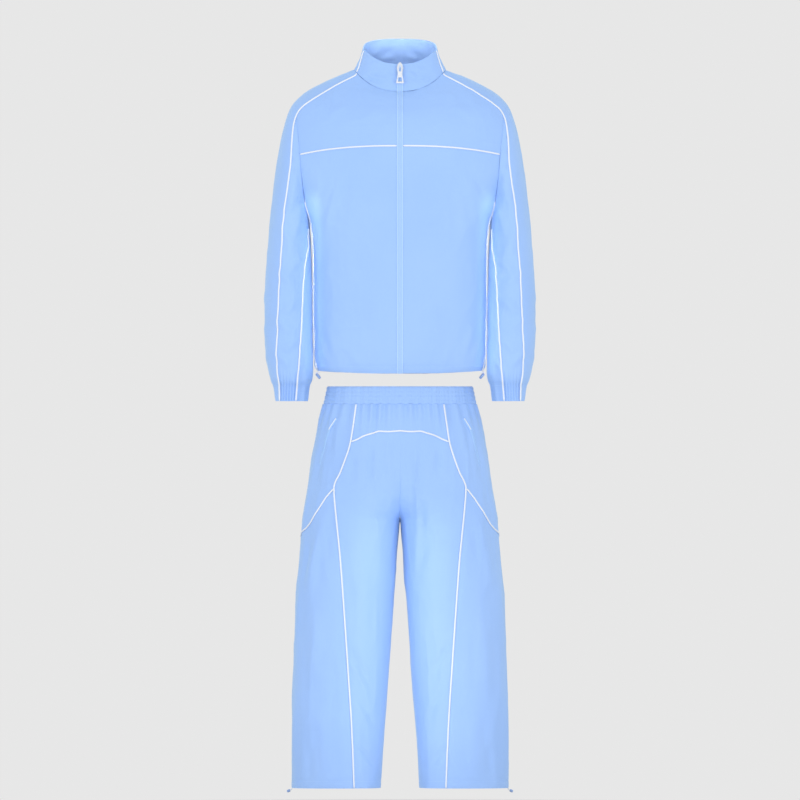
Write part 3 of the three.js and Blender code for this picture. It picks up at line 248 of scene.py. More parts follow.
body_ring = curves_of(BODY_RINGS)
arm_ring = curves_of(ARM_RINGS, "z")
leg_ring = curves_of(LEG_RINGS, "z")
armhole_x = curves_of(ARMHOLE, "z")["x"]
shoulder_x = curves_of(SHOULDER_PIPING, "z")["x"]
side_x = curves_of(SIDE_PIPING, "z")["x"]
inner_x = curves_of(INNER_PIPING, "z")["x"]
princess_x = curves_of(PRINCESS_PIPING, "z")["x"]
pocket_x = curves_of(POCKET_LINE, "z")["x"]
yoke_line_z = curves_of(FRONT_YOKE_LINE, "x")["z"]
branch_drop = curves_of(SIDE_BRANCH, "share")["drop"]
BRANCH_END = BRANCH_START - SIDE_BRANCH["drop"][-1]


def body(angle, ring):
    """The jacket's body: angle is 0 at the front centre, 90 at the side and 180 at the back centre."""
    across = np.sin(np.radians(angle))
    along = np.cos(np.radians(angle))
    back = along < 0
    z_middle = np.where(back, body_ring["zBack"](ring), body_ring["zFront"](ring))
    depth = np.where(back, body_ring["back"](ring), body_ring["front"](ring))
    return stack(
        body_ring["halfWidth"](ring) * signed_power(across, 2 / TORSO_SQUARENESS),
        -depth * signed_power(along, 2 / TORSO_SQUARENESS),
        z_middle + (body_ring["zSide"](ring) - z_middle) * across * across,
    )


def body_seam_angle(seam_x, ring, at_back, low, high):
    """The angle between low and high at which a ring of the body crosses a seam."""
    ring = np.asarray(ring, float)

    def miss(angle):
        point = body(180 - angle if at_back else angle, ring)
        return point[..., 0] - seam_x(point[..., 2])

    angle = find_zero(miss, np.full(ring.shape, low), high)
    return 180 - angle if at_back else angle


def armhole_exact(turn):
    """The armhole's place on the body, found along a ray from the side at yoke height."""
    reach_angle = ARMHOLE_FAN * np.sin(np.radians(turn))
    reach_ring = (YOKE_RING - ARMPIT_RING) * np.cos(np.radians(turn))

    def miss(reach):
        point = body(90 - reach * reach_angle, YOKE_RING - reach * reach_ring)
        return point[..., 0] - armhole_x(point[..., 2])

    reach = find_zero(miss, np.zeros(np.shape(turn)), ARMHOLE_FARTHEST)
    return 90 - reach * reach_angle, YOKE_RING - reach * reach_ring


ARMHOLE_TURNS = np.linspace(-180, 180, ARMHOLE_SAMPLES)
ARMHOLE_ANGLES, ARMHOLE_RINGS = armhole_exact(ARMHOLE_TURNS)


def armhole(turn):
    """The armhole, as angle and ring on the body. turn is 0 at the armpit, 90 in front and 180 on top."""
    turn = (np.asarray(turn, float) + 180) % 360 - 180
    return np.interp(turn, ARMHOLE_TURNS, ARMHOLE_ANGLES), np.interp(turn, ARMHOLE_TURNS, ARMHOLE_RINGS)


def armhole_turn(z, low, high):
    """The turn between low and high at which the armhole passes a height."""
    return float(find_zero(lambda turn: body(*armhole(turn))[..., 2] - z, np.array(float(low)), high))


SHOULDER_SEAM_TOP = float(find_zero(lambda z: armhole_x(z) - shoulder_x(z), np.array(-135.0), -90))
FRONT_SIDE = armhole_turn(SIDE_SEAM_TOP, 5, 89)
FRONT_SHOULDER = armhole_turn(SHOULDER_SEAM_TOP, 91, 175)
BACK_SIDE = armhole_turn(SIDE_SEAM_TOP, -5, -89)
BACK_SHOULDER = armhole_turn(SHOULDER_SEAM_TOP, -91, -175)


def middle_and_half(ring, z):
    """The middle and half the width between a tube's inner and outer lines."""
    inner, outer = ring["inner"](z), ring["outer"](z)
    return (inner + outer) / 2, (outer - inner) / 2


def arm(around, z):
    """The hanging sleeve: around is 0 at the inner line, 90 in front and 180 outside."""
    middle, half = middle_and_half(arm_ring, z)
    return stack(
        middle - half * np.cos(np.radians(around)),
        -arm_ring["forward"](z) - arm_ring["depth"](z) * np.sin(np.radians(around)),
        z,
    )


def cap_reach(handles, height):
    foot, middle, top = handles
    reach = np.where(height < 0.5, mix(foot, middle, height * 2), mix(middle, top, height * 2 - 1))
    return reach[..., None]


def sleeve(around, along):
    """The sleeve: around is 0 at the inner line, 90 in front, 180 outside; along is 1 at the cap's end."""
    around, along = np.broadcast_arrays(np.asarray(around, float), np.asarray(along, float))
    hanging = arm(around, mix(CAP_END, CUFF_END, np.clip(along - 1, 0, 1)))
    height = (1 - np.cos(np.radians(around))) / 2
    start = body(*armhole(around))
    end = arm(around, np.full(around.shape, float(CAP_END)))
    sideways = CAP_LEAN * height ** 0.5
    turned_out = CAP_TURN * np.sin(np.radians(around))
    leaving = stack(sideways, turned_out, -np.sqrt(1 - sideways ** 2 - turned_out ** 2))
    arriving = unit(arm(around, np.full(around.shape, CAP_END - 1.0)) - end)
    near = start + leaving * cap_reach(CAP_HANDLES, height)
    far = end - arriving * cap_reach(ARM_HANDLES, height)
    t = np.clip(along, 0, 1)[..., None]
    rest = 1 - t
    cap = start * rest ** 3 + near * 3 * rest ** 2 * t + far * 3 * rest * t ** 2 + end * t ** 3
    return np.where(along[..., None] > 1, hanging, cap)


def sleeve_shoulder_turn(along, at_back):
    """Where the shoulder's piping crosses each row of the sleeve."""
    sign = -1 if at_back else 1

    def miss(around):
        point = sleeve(sign * around, along)
        return point[..., 0] - shoulder_x(point[..., 2])

    return sign * find_zero(miss, np.full(np.shape(along), 60.0), 179)


def sleeve_inner_turn(along):
    """Where the inner piping crosses each row of the sleeve. It starts from the armpit."""
    z = mix(CAP_END, CUFF_END, np.maximum(along - 1, 0))
    middle, half = middle_and_half(arm_ring, z)
    return np.degrees(np.arccos((middle - inner_x(z)) / half)) * smoothstep(along, 0, 1)


ALONG_SAMPLES = np.linspace(0, 2, SLEEVE_SAMPLES)
FRONT_TURNS = sleeve_shoulder_turn(ALONG_SAMPLES, False)
BACK_TURNS = sleeve_shoulder_turn(ALONG_SAMPLES, True)
INNER_TURNS = sleeve_inner_turn(ALONG_SAMPLES)


def front_turn(along):
    return np.interp(along, ALONG_SAMPLES, FRONT_TURNS)


def back_turn(along):
    return np.interp(along, ALONG_SAMPLES, BACK_TURNS)


def inner_turn(along):
    return np.interp(along, ALONG_SAMPLES, INNER_TURNS)


def collar(angle, up):
    """The collar stands on the neck ring: up is 0 at its base and 1 at its top edge."""
    along = np.cos(np.radians(angle))
    across = np.sin(np.radians(angle))
    base = body(angle, np.full(np.shape(angle), float(NECK_RING))) + [0, 0, COLLAR_BASE_LIFT]
    back = along < 0
    rise_back = (COLLAR_RIM["zBack"] - COLLAR_RIM["zSide"]) * np.abs(along) ** COLLAR_BACK_CURVE
    rise_front = (COLLAR_RIM["zFront"] - COLLAR_RIM["zSide"]) * np.abs(along) ** COLLAR_FRONT_CURVE
    depth = np.where(back, COLLAR_RIM["back"], COLLAR_RIM["front"])
    rim = stack(
        COLLAR_RIM["halfWidth"] * signed_power(across, 2 / TORSO_SQUARENESS),
        -depth * signed_power(along, 2 / TORSO_SQUARENESS),
        COLLAR_RIM["zSide"] + np.where(back, rise_back, rise_front),
    )
    point = mix(base, rim, np.asarray(up, float)[..., None])
    point[..., 0] -= COLLAR_HOLLOW * np.sin(np.pi * up) * across ** 3
    return point


def trousers(around, z):
    """Half the trousers: around is 0 at the outermost line, 90 in front, 180 inside the leg."""
    middle, half = middle_and_half(leg_ring, z)
    across = np.cos(np.radians(around))
    along = np.sin(np.radians(around))
    depth = np.where(along < 0, leg_ring["back"](z), leg_ring["front"](z))
    return stack(
        middle + half * signed_power(across, 2 / HIP_SQUARENESS),
        -depth * signed_power(along, 2 / HIP_SQUARENESS),
        z,
    )


def trousers_turn(x, z):
    """Where half the trousers reaches a distance from the centre."""
    middle, half = middle_and_half(leg_ring, z)
    cosine = np.clip((x - middle) / half, -1, 1)
    return np.degrees(np.arccos(signed_power(cosine, HIP_SQUARENESS / 2)))


def centre_turn(z):
    return np.where(z <= CROTCH, 180.0, trousers_turn(0.0, z))


def princess_turn(z):
    return trousers_turn(princess_x(z), z)


# Folds
random = np.random.default_rng(41)
NOISE_CELLS = 32
NOISE_LAYERS = 6
NOISE_SHIFT = 7.3
NOISE_TABLES = random.random((NOISE_LAYERS, NOISE_CELLS, NOISE_CELLS, NOISE_CELLS))


def soft_noise(points, size, layer):
    """Smooth noise from 0 to 1 over space, with features of the given size in mm along each axis."""
    place = points / np.array(size, float) + NOISE_SHIFT
    cell = np.floor(place).astype(int)
    t = place - cell
    t = t * t * (3 - 2 * t)
    values = NOISE_TABLES[layer]
    total = 0
    for corner in np.ndindex(2, 2, 2):
        share = np.abs(1 - np.array(corner) - t)
        weight = share[..., 0] * share[..., 1] * share[..., 2]
        i, j, k = np.moveaxis((cell + corner) % NOISE_CELLS, -1, 0)
        total = total + weight * values[i, j, k]
    return total


def wrinkled(points, size, depth, layer):
    """Soft creases: narrow ridges where noise crosses its middle value."""
    n = soft_noise(points, size, layer)
    ridge = 1 - np.abs(2 * n - 1)
    return depth * (ridge ** 3 - 0.35)


OTHER_SIDE = {"left": "right", "front": "front", "back": "back"}


def fold_rows(rows):
    """Folds as they are used, from rows that may stand for a fold on each side.

    A fold lies on the side of the form that its chart names, with x or y across and z up.
    Columns: chart, mirrored too, across and z of the start, across and z of the end, bend, width, height.
    A ridge has a positive height, and a trough a negative one.
    """
    result = []
    for chart, mirrored, *numbers in rows:
        result.append((chart, *numbers))
        if mirrored:
            a1, z1, a2, z2, bend, width, height = numbers
            sign = 1 if chart == "left" else -1
            result.append((OTHER_SIDE[chart], sign * a1, z1, sign * a2, z2, sign * bend, width, height))
    return result


def folded(points, normals, folds):
    """The height of all folds at each point.

    A fold is a rounded crest with a slight dip on both sides. It fades out at its ends, and where the form
    turns away from its chart.
    """
    total = np.zeros(points.shape[:-1])
    x, z = points[..., 0], points[..., 2]
    sideways = smoothstep(normals[..., 0] * np.sign(x), 0.05, 0.6)
    facing = {
        "front": smoothstep(-normals[..., 1], 0.05, 0.6),
        "back": smoothstep(normals[..., 1], 0.05, 0.6),
        "left": sideways * (x > 0),
        "right": sideways * (x < 0),
    }
    for chart, a1, z1, a2, z2, bend, width, height in folds:
        a = points[..., 1 if chart in ("left", "right") else 0]
        run = np.array([a2 - a1, z2 - z1], float)
        length = np.hypot(*run)
        run /= length
        t = ((a - a1) * run[0] + (z - z1) * run[1]) / length
        s = ((a - a1) * run[1] - (z - z1) * run[0] - bend * 4 * t * (1 - t)) / width
        crest = np.exp(-np.abs(s) ** 1.7) - 0.42 * np.exp(-((np.abs(s) - 1.9) / 0.95) ** 2)
        ends = smoothstep(t, -0.02, 0.32) * (1 - smoothstep(t, 0.62, 1.04))
        total += facing[chart] * height * crest * ends
    return total


def soft_cloth(points, normals, folds, strength, creases):
    """The folds of a part and the creases over it, from rows of size, depth and layer."""
    total = folded(points, normals, folds) * strength
    for size, depth, layer in creases:
        total = total + wrinkled(points, size, depth, layer)
    return total


JACKET_FOLDS = fold_rows([
    # from the armholes down over the chest
    ("front", 0, -124, -215, -178, -392, 6, 9, 3.4), ("front", 0, -150, -235, -186, -345, 4, 6, 2.2),
    ("front", 0, 140, -218, 188, -378, -6, 9, 3.4), ("front", 0, 160, -240, 196, -340, -4, 6, 2.0),
    ("front", 0, -98, -250, -120, -430, 5, 12, 1.8), ("front", 0, 96, -255, 112, -400, -5, 11, 1.6),
    ("front", 0, -60, -470, -44, -640, 3, 13, 1.5), ("front", 0, 66, -500, 90, -660, -4, 12, 1.6),
    ("front", 1, 176, -575, 150, -655, 3, 8, 2.0), ("front", 1, 186, -610, 168, -676, 3, 6, 2.2),
    ("front", 1, 120, -630, 104, -672, 2, 7, 1.4), ("front", 1, 70, -640, 66, -672, 0, 6, 1.2),
    ("front", 1, 165, -430, 184, -520, 3, 9, 1.5), ("front", 1, 30, -110, 60, -160, 2, 8, 1.2),
    ("front", 1, 120, -75, 170, -110, -3, 9, 1.5),
    # the back hangs in folds from the shoulder blades and above the hem
    ("back", 1, 110, -190, 80, -420, 6, 14, 3.0), ("back", 1, 168, -230, 150, -420, 5, 10, 3.0),
    ("back", 0, -12, -240, 14, -520, 6, 16, 2.4), ("back", 1, 60, -480, 52, -650, 3, 12, 2.2),
    ("back", 1, 130, -520, 118, -665, 3, 10, 2.4), ("back", 1, 178, -560, 168, -670, 3, 8, 2.2),
    ("back", 1, 60, -90, 150, -120, 4, 11, 1.6), ("back", 0, -60, -345, 70, -365, -8, 14, 1.6),
    ("left", 1, -20, -400, -12, -600, 3, 10, 1.8), ("left", 1, 22, -430, 12, -640, -3, 10, 1.8),
])
SLEEVE_FOLDS = fold_rows([
    ("front", 1, 236, -225, 262, -330, 5, 9, 2.6), ("front", 1, 226, -290, 246, -385, 4, 8, 2.4),
    ("front", 1, 282, -330, 246, -430, 5, 9, 2.6), ("front", 1, 222, -430, 262, -470, -4, 8, 2.4),
    ("front", 1, 290, -450, 240, -500, 4, 9, 2.6), ("front", 1, 224, -520, 270, -560, -5, 9, 2.6),
    ("front", 1, 296, -560, 246, -610, 5, 9, 2.4), ("front", 1, 226, -610, 268, -650, -4, 8, 2.2),
    ("front", 1, 292, -640, 250, -685, 3, 7, 2.4), ("front", 1, 216, -660, 244, -700, -2, 6, 2.0),
    ("back", 1, 240, -240, 268, -360, 5, 10, 2.8), ("back", 1, 284, -330, 240, -430, 5, 9, 2.8),
    ("back", 1, 222, -450, 272, -500, -5, 9, 2.8), ("back", 1, 292, -520, 236, -575, 5, 9, 2.8),
    ("back", 1, 226, -590, 276, -640, -5, 9, 2.6), ("back", 1, 288, -640, 244, -690, 3, 8, 2.4),
    ("left", 1, -30, -260, 10, -380, 4, 10, 2.4), ("left", 1, 20, -400, -50, -450, 4, 9, 2.6),
    ("left", 1, -60, -500, 10, -545, -4, 9, 2.6), ("left", 1, 20, -570, -70, -620, 4, 9, 2.6),
    ("left", 1, -64, -640, 0, -685, -3, 8, 2.4),
])
TROUSER_FOLDS = fold_rows([
    ("front", 0, -65, -848, -68, -968, 2, 6, -2.0), ("front", 0, -106, -866, -110, -965, 2, 8, -1.6),
    ("front", 0, -30, -838, -25, -960, -2, 8, 1.6), ("front", 0, 36, -842, 44, -1075, 2, 5, 2.0),
    ("front", 0, 53, -980, 46, -1118, -2, 7, -1.8), ("front", 0, 72, -1030, 36, -1165, -4, 9, -1.6),
    ("front", 0, 92, -856, 86, -935, 1, 7, -1.8), ("front", 0, 16, -850, 17, -960, 0, 6, -1.2),
    ("front", 0, -167, -1000, -214, -1235, 8, 11, 2.8), ("front", 0, -140, -1030, -108, -1300, -4, 10, -1.8),
    ("front", 0, -195, -1060, -226, -1190, 5, 8, -2.0), ("front", 0, 172, -1010, 208, -1200, -8, 11, 2.2),
    ("front", 0, 146, -1030, 120, -1290, 4, 10, -1.6), ("front", 0, -80, -1080, -76, -1300, 3, 12, 1.4),
    ("front", 1, 172, -846, 192, -945, -3, 7, -1.8), ("front", 1, 152, -792, 160, -882, 0, 6, -1.6),
    ("front", 0, -192, -1230, -196, -1420, 4, 13, 1.8), ("front", 0, 188, -1240, 196, -1460, -4, 13, 1.6),
    ("front", 0, -126, -1310, -76, -1412, -5, 7, -2.0), ("front", 0, -112, -1420, -52, -1518, -5, 7, -2.0),
    ("front", 0, -104, -1548, -50, -1604, -4, 6, -1.8), ("front", 0, -108, -1366, -72, -1440, -4, 6, 1.6),
    ("front", 0, 117, -1310, 78, -1402, 5, 7, -2.0), ("front", 0, 110, -1412, 64, -1496, 5, 7, -1.8),
    ("front", 0, 116, -1540, 72, -1604, 4, 6, -1.6), ("front", 0, -150, -1350, -150, -1490, 0, 9, -1.2),
    ("front", 1, 170, -1480, 176, -1630, 3, 12, 1.6), ("front", 1, 205, -1540, 210, -1640, 0, 8, -1.4),
    ("back", 1, 150, -990, 80, -1090, 8, 13, 3.4), ("back", 1, 60, -900, 44, -1010, 4, 11, 2.4),
    ("back", 1, 120, -860, 130, -980, 4, 11, 2.2), ("back", 1, 30, -1040, 110, -1150, -8, 11, 3.4),
    ("back", 1, 190, -1060, 150, -1260, 7, 13, 3.4), ("back", 1, 70, -1180, 90, -1400, -6, 14, 3.2),
    ("back", 1, 210, -1320, 130, -1400, 7, 12, 3.0), ("back", 1, 60, -1420, 150, -1480, -7, 12, 3.0),
    ("back", 1, 190, -1440, 200, -1630, 5, 13, 2.8), ("back", 1, 100, -1500, 110, -1640, 4, 13, 2.6),
    ("left", 1, -40, -860, -30, -1080, 5, 11, 1.4), ("left", 1, 40, -900, 20, -1120, -5, 12, 1.6),
    ("left", 1, -50, -1150, -20, -1320, 4, 12, 1.3), ("left", 1, 50, -1250, 20, -1440, 4, 12, 1.6),
    ("left", 1, -36, -1420, -24, -1630, -5, 13, 1.3), ("left", 1, 34, -1470, 40, -1640, 5, 12, 1.5),
])
COLLAR_FOLDS = fold_rows([
    ("front", 0, -82, -8, -38, -24, 5, 3.4, -1.5), ("front", 0, -66, -3, -34, -4, 2, 2.8, -1.2),
    ("front", 0, -74, 28, -44, 24, 1, 3.2, -0.9), ("front", 0, -60, -14, -22, -12, 3, 3.2, 1.2),
    ("front", 0, 18, 6, 46, -16, -3, 3.2, -1.5), ("front", 0, 42, -16, 74, -6, 3, 3.0, -1.4),
    ("front", 0, 12, -8, 56, -24, 2, 3.2, -1.1), ("front", 0, 54, -16, 84, -28, 2, 3.2, -1.1),
    ("front", 0, 30, 14, 66, 4, 3, 4.0, 1.0), ("front", 0, -30, 4, -12, -8, 1, 3.0, -1.0),
    ("back", 1, 20, 60, 60, 20, 4, 9, 0.9), ("back", 1, 14, 44, 48, 30, 3, 6, -0.9),
])


# Columns: size of a crease along x, y and z, its depth, and its layer of noise
JACKET_CREASES = [((40, 40, 60), 1.3, 0), ((16, 16, 22), 0.5, 1)]
SLEEVE_CREASES = [((28, 28, 40), 1.5, 3), ((13, 13, 17), 0.7, 1)]
COLLAR_CREASES = [((18, 18, 13), 0.9, 2)]
TROUSER_CREASES = [((30, 30, 150), 1.8, 0), ((15, 15, 40), 0.6, 1)]
HEM_PUCKER = ((13, 13, 70), 1.0, 2)
HEM_PUCKER_HEIGHT = 16
CASING_Z = -676.5  # the jacket's hem casing at the zip, and how it rises to the sides
CASING_RISE = 0.00018
CUFF_MIDDLE = -737
GATHERS_IN_SLEEVE = 12
GATHERS_IN_BAND = 6
GATHERS_IN_WAIST = 10
CASINGS_IN_WAISTBAND = 4
HEM_TURNING = 17
COLLAR_HEIGHT = 60
RIM_GROOVE = 5


def channel(z, at, depth, half):
    """A row of stitching pulls a narrow groove in the cloth."""
    return -depth * np.exp(-((z - at) / half) ** 2)


def body_relief(points, normals, a, b):
    """Calm at the armholes' sides and beside the zip, and puckered at the hem."""
    x, z = points[..., 0], points[..., 2]
    calm = 1 - smoothstep(np.abs(x), 225, 245) * smoothstep(z, -330, -300)
    casing = CASING_Z + CASING_RISE * x ** 2
    soft = soft_cloth(points, normals, JACKET_FOLDS, 0.8, JACKET_CREASES)
    hem_pull = np.exp(-((z - casing) / HEM_PUCKER_HEIGHT) ** 2) * wrinkled(points, *HEM_PUCKER)
    near_zip = 1 - 0.75 * np.exp(-(x / 14) ** 2) * (points[..., 1] < 0)
    return calm * near_zip * soft + hem_pull + channel(z, casing, 0.9, 1.7)


def sleeve_relief(points, normals, a, b):
    """Calm at the armhole, with gathers that count from seam to seam above and in the elastic cuff."""
    z = points[..., 2]
    calm = smoothstep(b, 0.0, 0.16)
    soft = soft_cloth(points, normals, SLEEVE_FOLDS, 1.0, SLEEVE_CREASES)
    soft = soft * (0.35 + 0.65 * smoothstep(np.abs(normals[..., 1]), 0.0, 0.6))
    turn = np.asarray(a, float)
    around = np.where(turn > 180, turn - 360, turn)
    front, back, inner = front_turn(b), back_turn(b), inner_turn(b)
    on_front = (around - inner) / (front - inner) * GATHERS_IN_SLEEVE
    on_under = (inner - around) / (inner - back) * GATHERS_IN_SLEEVE
    band_turn = np.where(turn < 0, turn + 360, turn)
    on_band = (band_turn - front) / (back + 360 - front) * GATHERS_IN_BAND
    banded = (band_turn > front) & (band_turn < back + 360)
    phase = np.where(banded, on_band, np.where(around >= inner, on_front, on_under))
    gathers = np.cos(np.pi * phase) * (0.75 + 0.5 * soft_noise(points, (14, 14, 60), 4))
    below_top = CUFF_TOP - z
    in_cuff = smoothstep(below_top, -6, 4)
    above = smoothstep(below_top, -46, -2) * (1 - in_cuff)
    elastic = CUFF_GATHER * gathers * (in_cuff + 0.75 * above)
    seams = channel(z, CUFF_TOP - 1, 0.7, 2.4) + channel(z, CUFF_MIDDLE, 0.5, 1.6)
    return calm * (1 - 0.85 * in_cuff) * soft + elastic + seams


def collar_relief(points, normals, a, b):
    """Calm at the seam, the rim and the zip, with a groove of stitching below the rim."""
    up = np.asarray(b, float)
    calm = smoothstep(up, 0, 0.12) * (1 - smoothstep(up, 0.9, 1)) * smoothstep(np.abs(points[..., 0]), 5, 14)
    soft = soft_cloth(points, normals, COLLAR_FOLDS, 1.5, COLLAR_CREASES)
    below_rim = (1 - up) * COLLAR_HEIGHT
    return calm * soft + channel(below_rim, RIM_GROOVE, 0.5, 1.3)


def waist_phase(around, z):
    """Counts the gathers round the waist from the princess line and the side seam, so that seams agree."""
    centre, princess = centre_turn(z), princess_turn(z)
    towards_centre = GATHERS_IN_WAIST * (around - princess) / np.maximum(centre - princess, 1)
    towards_side = GATHERS_IN_WAIST * (princess - around) / (princess - OUTSEAM)
    at_back = 2 * GATHERS_IN_WAIST * (OUTSEAM - around) / np.maximum(OUTSEAM + centre, 1)
    return np.where(around < OUTSEAM, at_back, np.where(around < princess, towards_side, towards_centre))


def trousers_relief(points, normals, a, b):
    """Gathers hang from the waistband and fade out at uneven heights, with the folds below them."""
    z = points[..., 2]
    phase = waist_phase(a, z)
    vary = soft_noise(points * [1, 1, 0], (19, 19, 50), 5)
    end = GATHER_END - 55 * (vary - 0.35)
    strength = smoothstep(z, end, WAIST_SEAM + 6) ** 0.8
    lean = 0.35 * (soft_noise(points, (60, 60, 60), 4) - 0.5)
    waves = np.cos(np.pi * (phase + lean * (1 - strength)))
    gathers = WAIST_GATHER * (0.55 + 0.9 * vary) * strength * waves
    soft = soft_cloth(points, normals, TROUSER_FOLDS, 1.5, TROUSER_CREASES)
    calm = smoothstep(-z, 770, 850)
    return gathers + calm * soft + channel(z, TROUSER_HEM + HEM_TURNING, 0.8, 1.8)


def waistband_relief(points, normals, a, b):
    """Uneven ribs over the rows of elastic, pulled in at the stitching between them."""
    z = points[..., 2]
    phase = waist_phase(a, z)
    fine = soft_noise(points * [1, 1, 0], (6, 6, 40), 2) - 0.5
    ribs = BAND_GATHER * np.cos(np.pi * phase) + 0.45 * np.cos(np.pi * phase * 3.0) + 0.7 * fine
    rows = (z - WAIST_TOP) / (WAIST_SEAM - WAIST_TOP) * CASINGS_IN_WAISTBAND
    puff = np.abs(np.sin(np.pi * rows)) ** 0.7
    return ribs * (0.45 + 0.55 * puff) + 0.9 * puff - 0.6


STEP_A = 0.4  # degrees over which a form's direction is measured


class Form:
    """A smooth outer form with its folds. Its places are an angle a, and a height or share b."""

    def __init__(self, at, relief, step_b, span_b, turned_out):
        self.at = at
        self.relief = relief
        self.step_b = step_b
        self.span_b = span_b
        self.turned_out = turned_out

    def normal(self, a, b):
        low, high = self.span_b
        along_a = self.at(a + STEP_A, b) - self.at(a - STEP_A, b)
        above = self.at(a, np.minimum(b + self.step_b, high))
        along_b = above - self.at(a, np.maximum(b - self.step_b, low))
        return unit(np.cross(along_a, along_b) * self.turned_out)

    def spots(self, a, b, mirrored=False):
        a, b = (np.asarray(x, float) for x in np.broadcast_arrays(a, b))
        points = self.at(a, b)
        normals = self.normal(a, b)
        if mirrored:
            points = points * [-1, 1, 1]
            normals = normals * [-1, 1, 1]
        return points + normals * self.relief(points, normals, a, b)[..., None], normals


BODY = Form(body, body_relief, step_b=0.05, span_b=(0, NECK_RING), turned_out=1)
SLEEVE = Form(sleeve, sleeve_relief, step_b=0.004, span_b=(0, 2), turned_out=-1)
COLLAR = Form(collar, collar_relief, step_b=0.02, span_b=(0, 1), turned_out=1)
TROUSERS = Form(trousers, trousers_relief, step_b=1, span_b=(TROUSER_HEM, WAIST_TOP), turned_out=-1)
WAISTBAND = Form(trousers, waistband_relief, step_b=1, span_b=(TROUSER_HEM, WAIST_TOP), turned_out=-1)


# Grids of places between seams
def spread(low, high, count):
    """Even values from low to high, with count steps between them."""
    return np.linspace(low, high, count + 1)


def chain(*runs):
    """Joins runs of values or places that share their end points."""
    return np.concatenate([run if i == 0 else run[1:] for i, run in enumerate(runs)])


def pairs(a, b):
    """Places on a form, each an [a, b] pair."""
    return np.stack(np.broadcast_arrays(np.asarray(a, float), np.asarray(b, float)), -1)


def rule(left, right, shares):
    """Straight rows of places between two edges."""
    return left[:, None] + (right - left)[:, None] * np.asarray(shares)[None, :, None]


def fill(first, last, left, right):
    """Fills the space between four edges of places, blending the edges."""
    t = np.linspace(0, 1, len(left))[:, None, None]
    s = np.linspace(0, 1, len(first))[None, :, None]
    corners = mix(mix(first[0], first[-1], s), mix(last[0], last[-1], s), t)
    return mix(left[:, None], right[:, None], s) + mix(first[None], last[None], t) - corners


EDGE_SHARES = (0.16, 0.45)


def edged(places):
    """Adds two lines close to each edge, so that the cloth can turn in at its seams."""
    for _ in range(2):
        head = [mix(places[0], places[1], t) for t in EDGE_SHARES]
        tail = [mix(places[-1], places[-2], t) for t in reversed(EDGE_SHARES)]
        places = np.concatenate([places[:1], head, places[1:-1], tail, places[-1:]])
        places = places.swapaxes(0, 1)
    return places


# Meshes
def running_length(points, axis):
    """The length run along an axis of a grid or line of points, from 0 at its start."""
    steps = np.linalg.norm(np.diff(points, axis=axis), axis=-1)
    zero = np.zeros_like(np.take(steps, [0], axis=axis))
    return np.concatenate([zero, np.cumsum(steps, axis=axis)], axis=axis)


def make_mesh(name, points, faces, uv=None, sharp=50):
    """A smooth closed mesh whose faces point out, in metres."""
    points = np.asarray(points, float).reshape(-1, 3)
    faces = np.asarray(faces, int)
    a, b, c = (points[faces[:, i]] for i in (0, 1, 2))
    d = points[faces[:, -1]]
    volume = np.einsum("ij,ij->i", a, np.cross(b, c)).sum() + np.einsum("ij,ij->i", a, np.cross(c, d)).sum()
    if volume < 0:
        faces = faces[:, ::-1]
    size = faces.shape[1]
    mesh = bpy.data.meshes.new(name)
    mesh.vertices.add(len(points))
    mesh.vertices.foreach_set("co", (points * SCALE).ravel())
    mesh.loops.add(faces.size)
    mesh.loops.foreach_set("vertex_index", faces.ravel())
    mesh.polygons.add(len(faces))
    mesh.polygons.foreach_set("loop_start", np.arange(0, faces.size, size))
    mesh.polygons.foreach_set("loop_total", np.full(len(faces), size))
    mesh.polygons.foreach_set("use_smooth", np.ones(len(faces), bool))
    if uv is not None:
        layer = mesh.uv_layers.new(name="UVMap")
        layer.data.foreach_set("uv", (np.asarray(uv).reshape(-1, 2)[faces.ravel()] * SCALE).ravel())
    mesh.update(calc_edges=True)
    mesh.validate()
    mesh.set_sharp_from_angle(angle=math.radians(sharp))
    obj = bpy.data.objects.new(name, mesh)
    bpy.context.scene.collection.objects.link(obj)
    return obj


def quads_of(rows, columns, base=0, closed=False):
    """The faces of a grid, numbered from base and closed round its columns or not."""
    i, j = np.meshgrid(np.arange(rows - 1), np.arange(columns if closed else columns - 1), indexing="ij")
    k = (j + 1) % columns
    corners = [i * columns + j, i * columns + k, (i + 1) * columns + k, (i + 1) * columns + j]
    return np.stack(corners, -1).reshape(-1, 4) + base


def shell(name, outer, normals, thickness, closed=False):
    """A thin closed wall: an outer face, an inner face and the edges between them."""
    rows, columns = outer.shape[:2]
    count = rows * columns
    inner = outer - normals * thickness
    faces = [quads_of(rows, columns, 0, closed), quads_of(rows, columns, count, closed)[:, ::-1]]
    index = np.arange(count).reshape(rows, columns)
    rims = [(index[0], closed, False), (index[-1], closed, True)]
    if not closed:
        rims += [(index[:, 0], False, True), (index[:, -1], False, False)]
    for line, joined, turned in rims:
        start, end = (line, np.roll(line, -1)) if joined else (line[:-1], line[1:])
        quad = np.stack([end, start, start + count, end + count], -1)
        faces.append(quad[:, ::-1] if turned else quad)
    across = running_length(outer, 1)
    down = running_length(outer, 0)
    uv = np.stack([across, down], -1)
    return make_mesh(name, np.concatenate([outer.reshape(-1, 3), inner.reshape(-1, 3)]),
                     np.concatenate(faces), np.concatenate([uv.reshape(-1, 2)] * 2))


SEAM_DEPTH = 0.3
SEAM_REACH = 1.8
SEAM_PUFF = 0.2
SEAM_PUFF_AT = 6


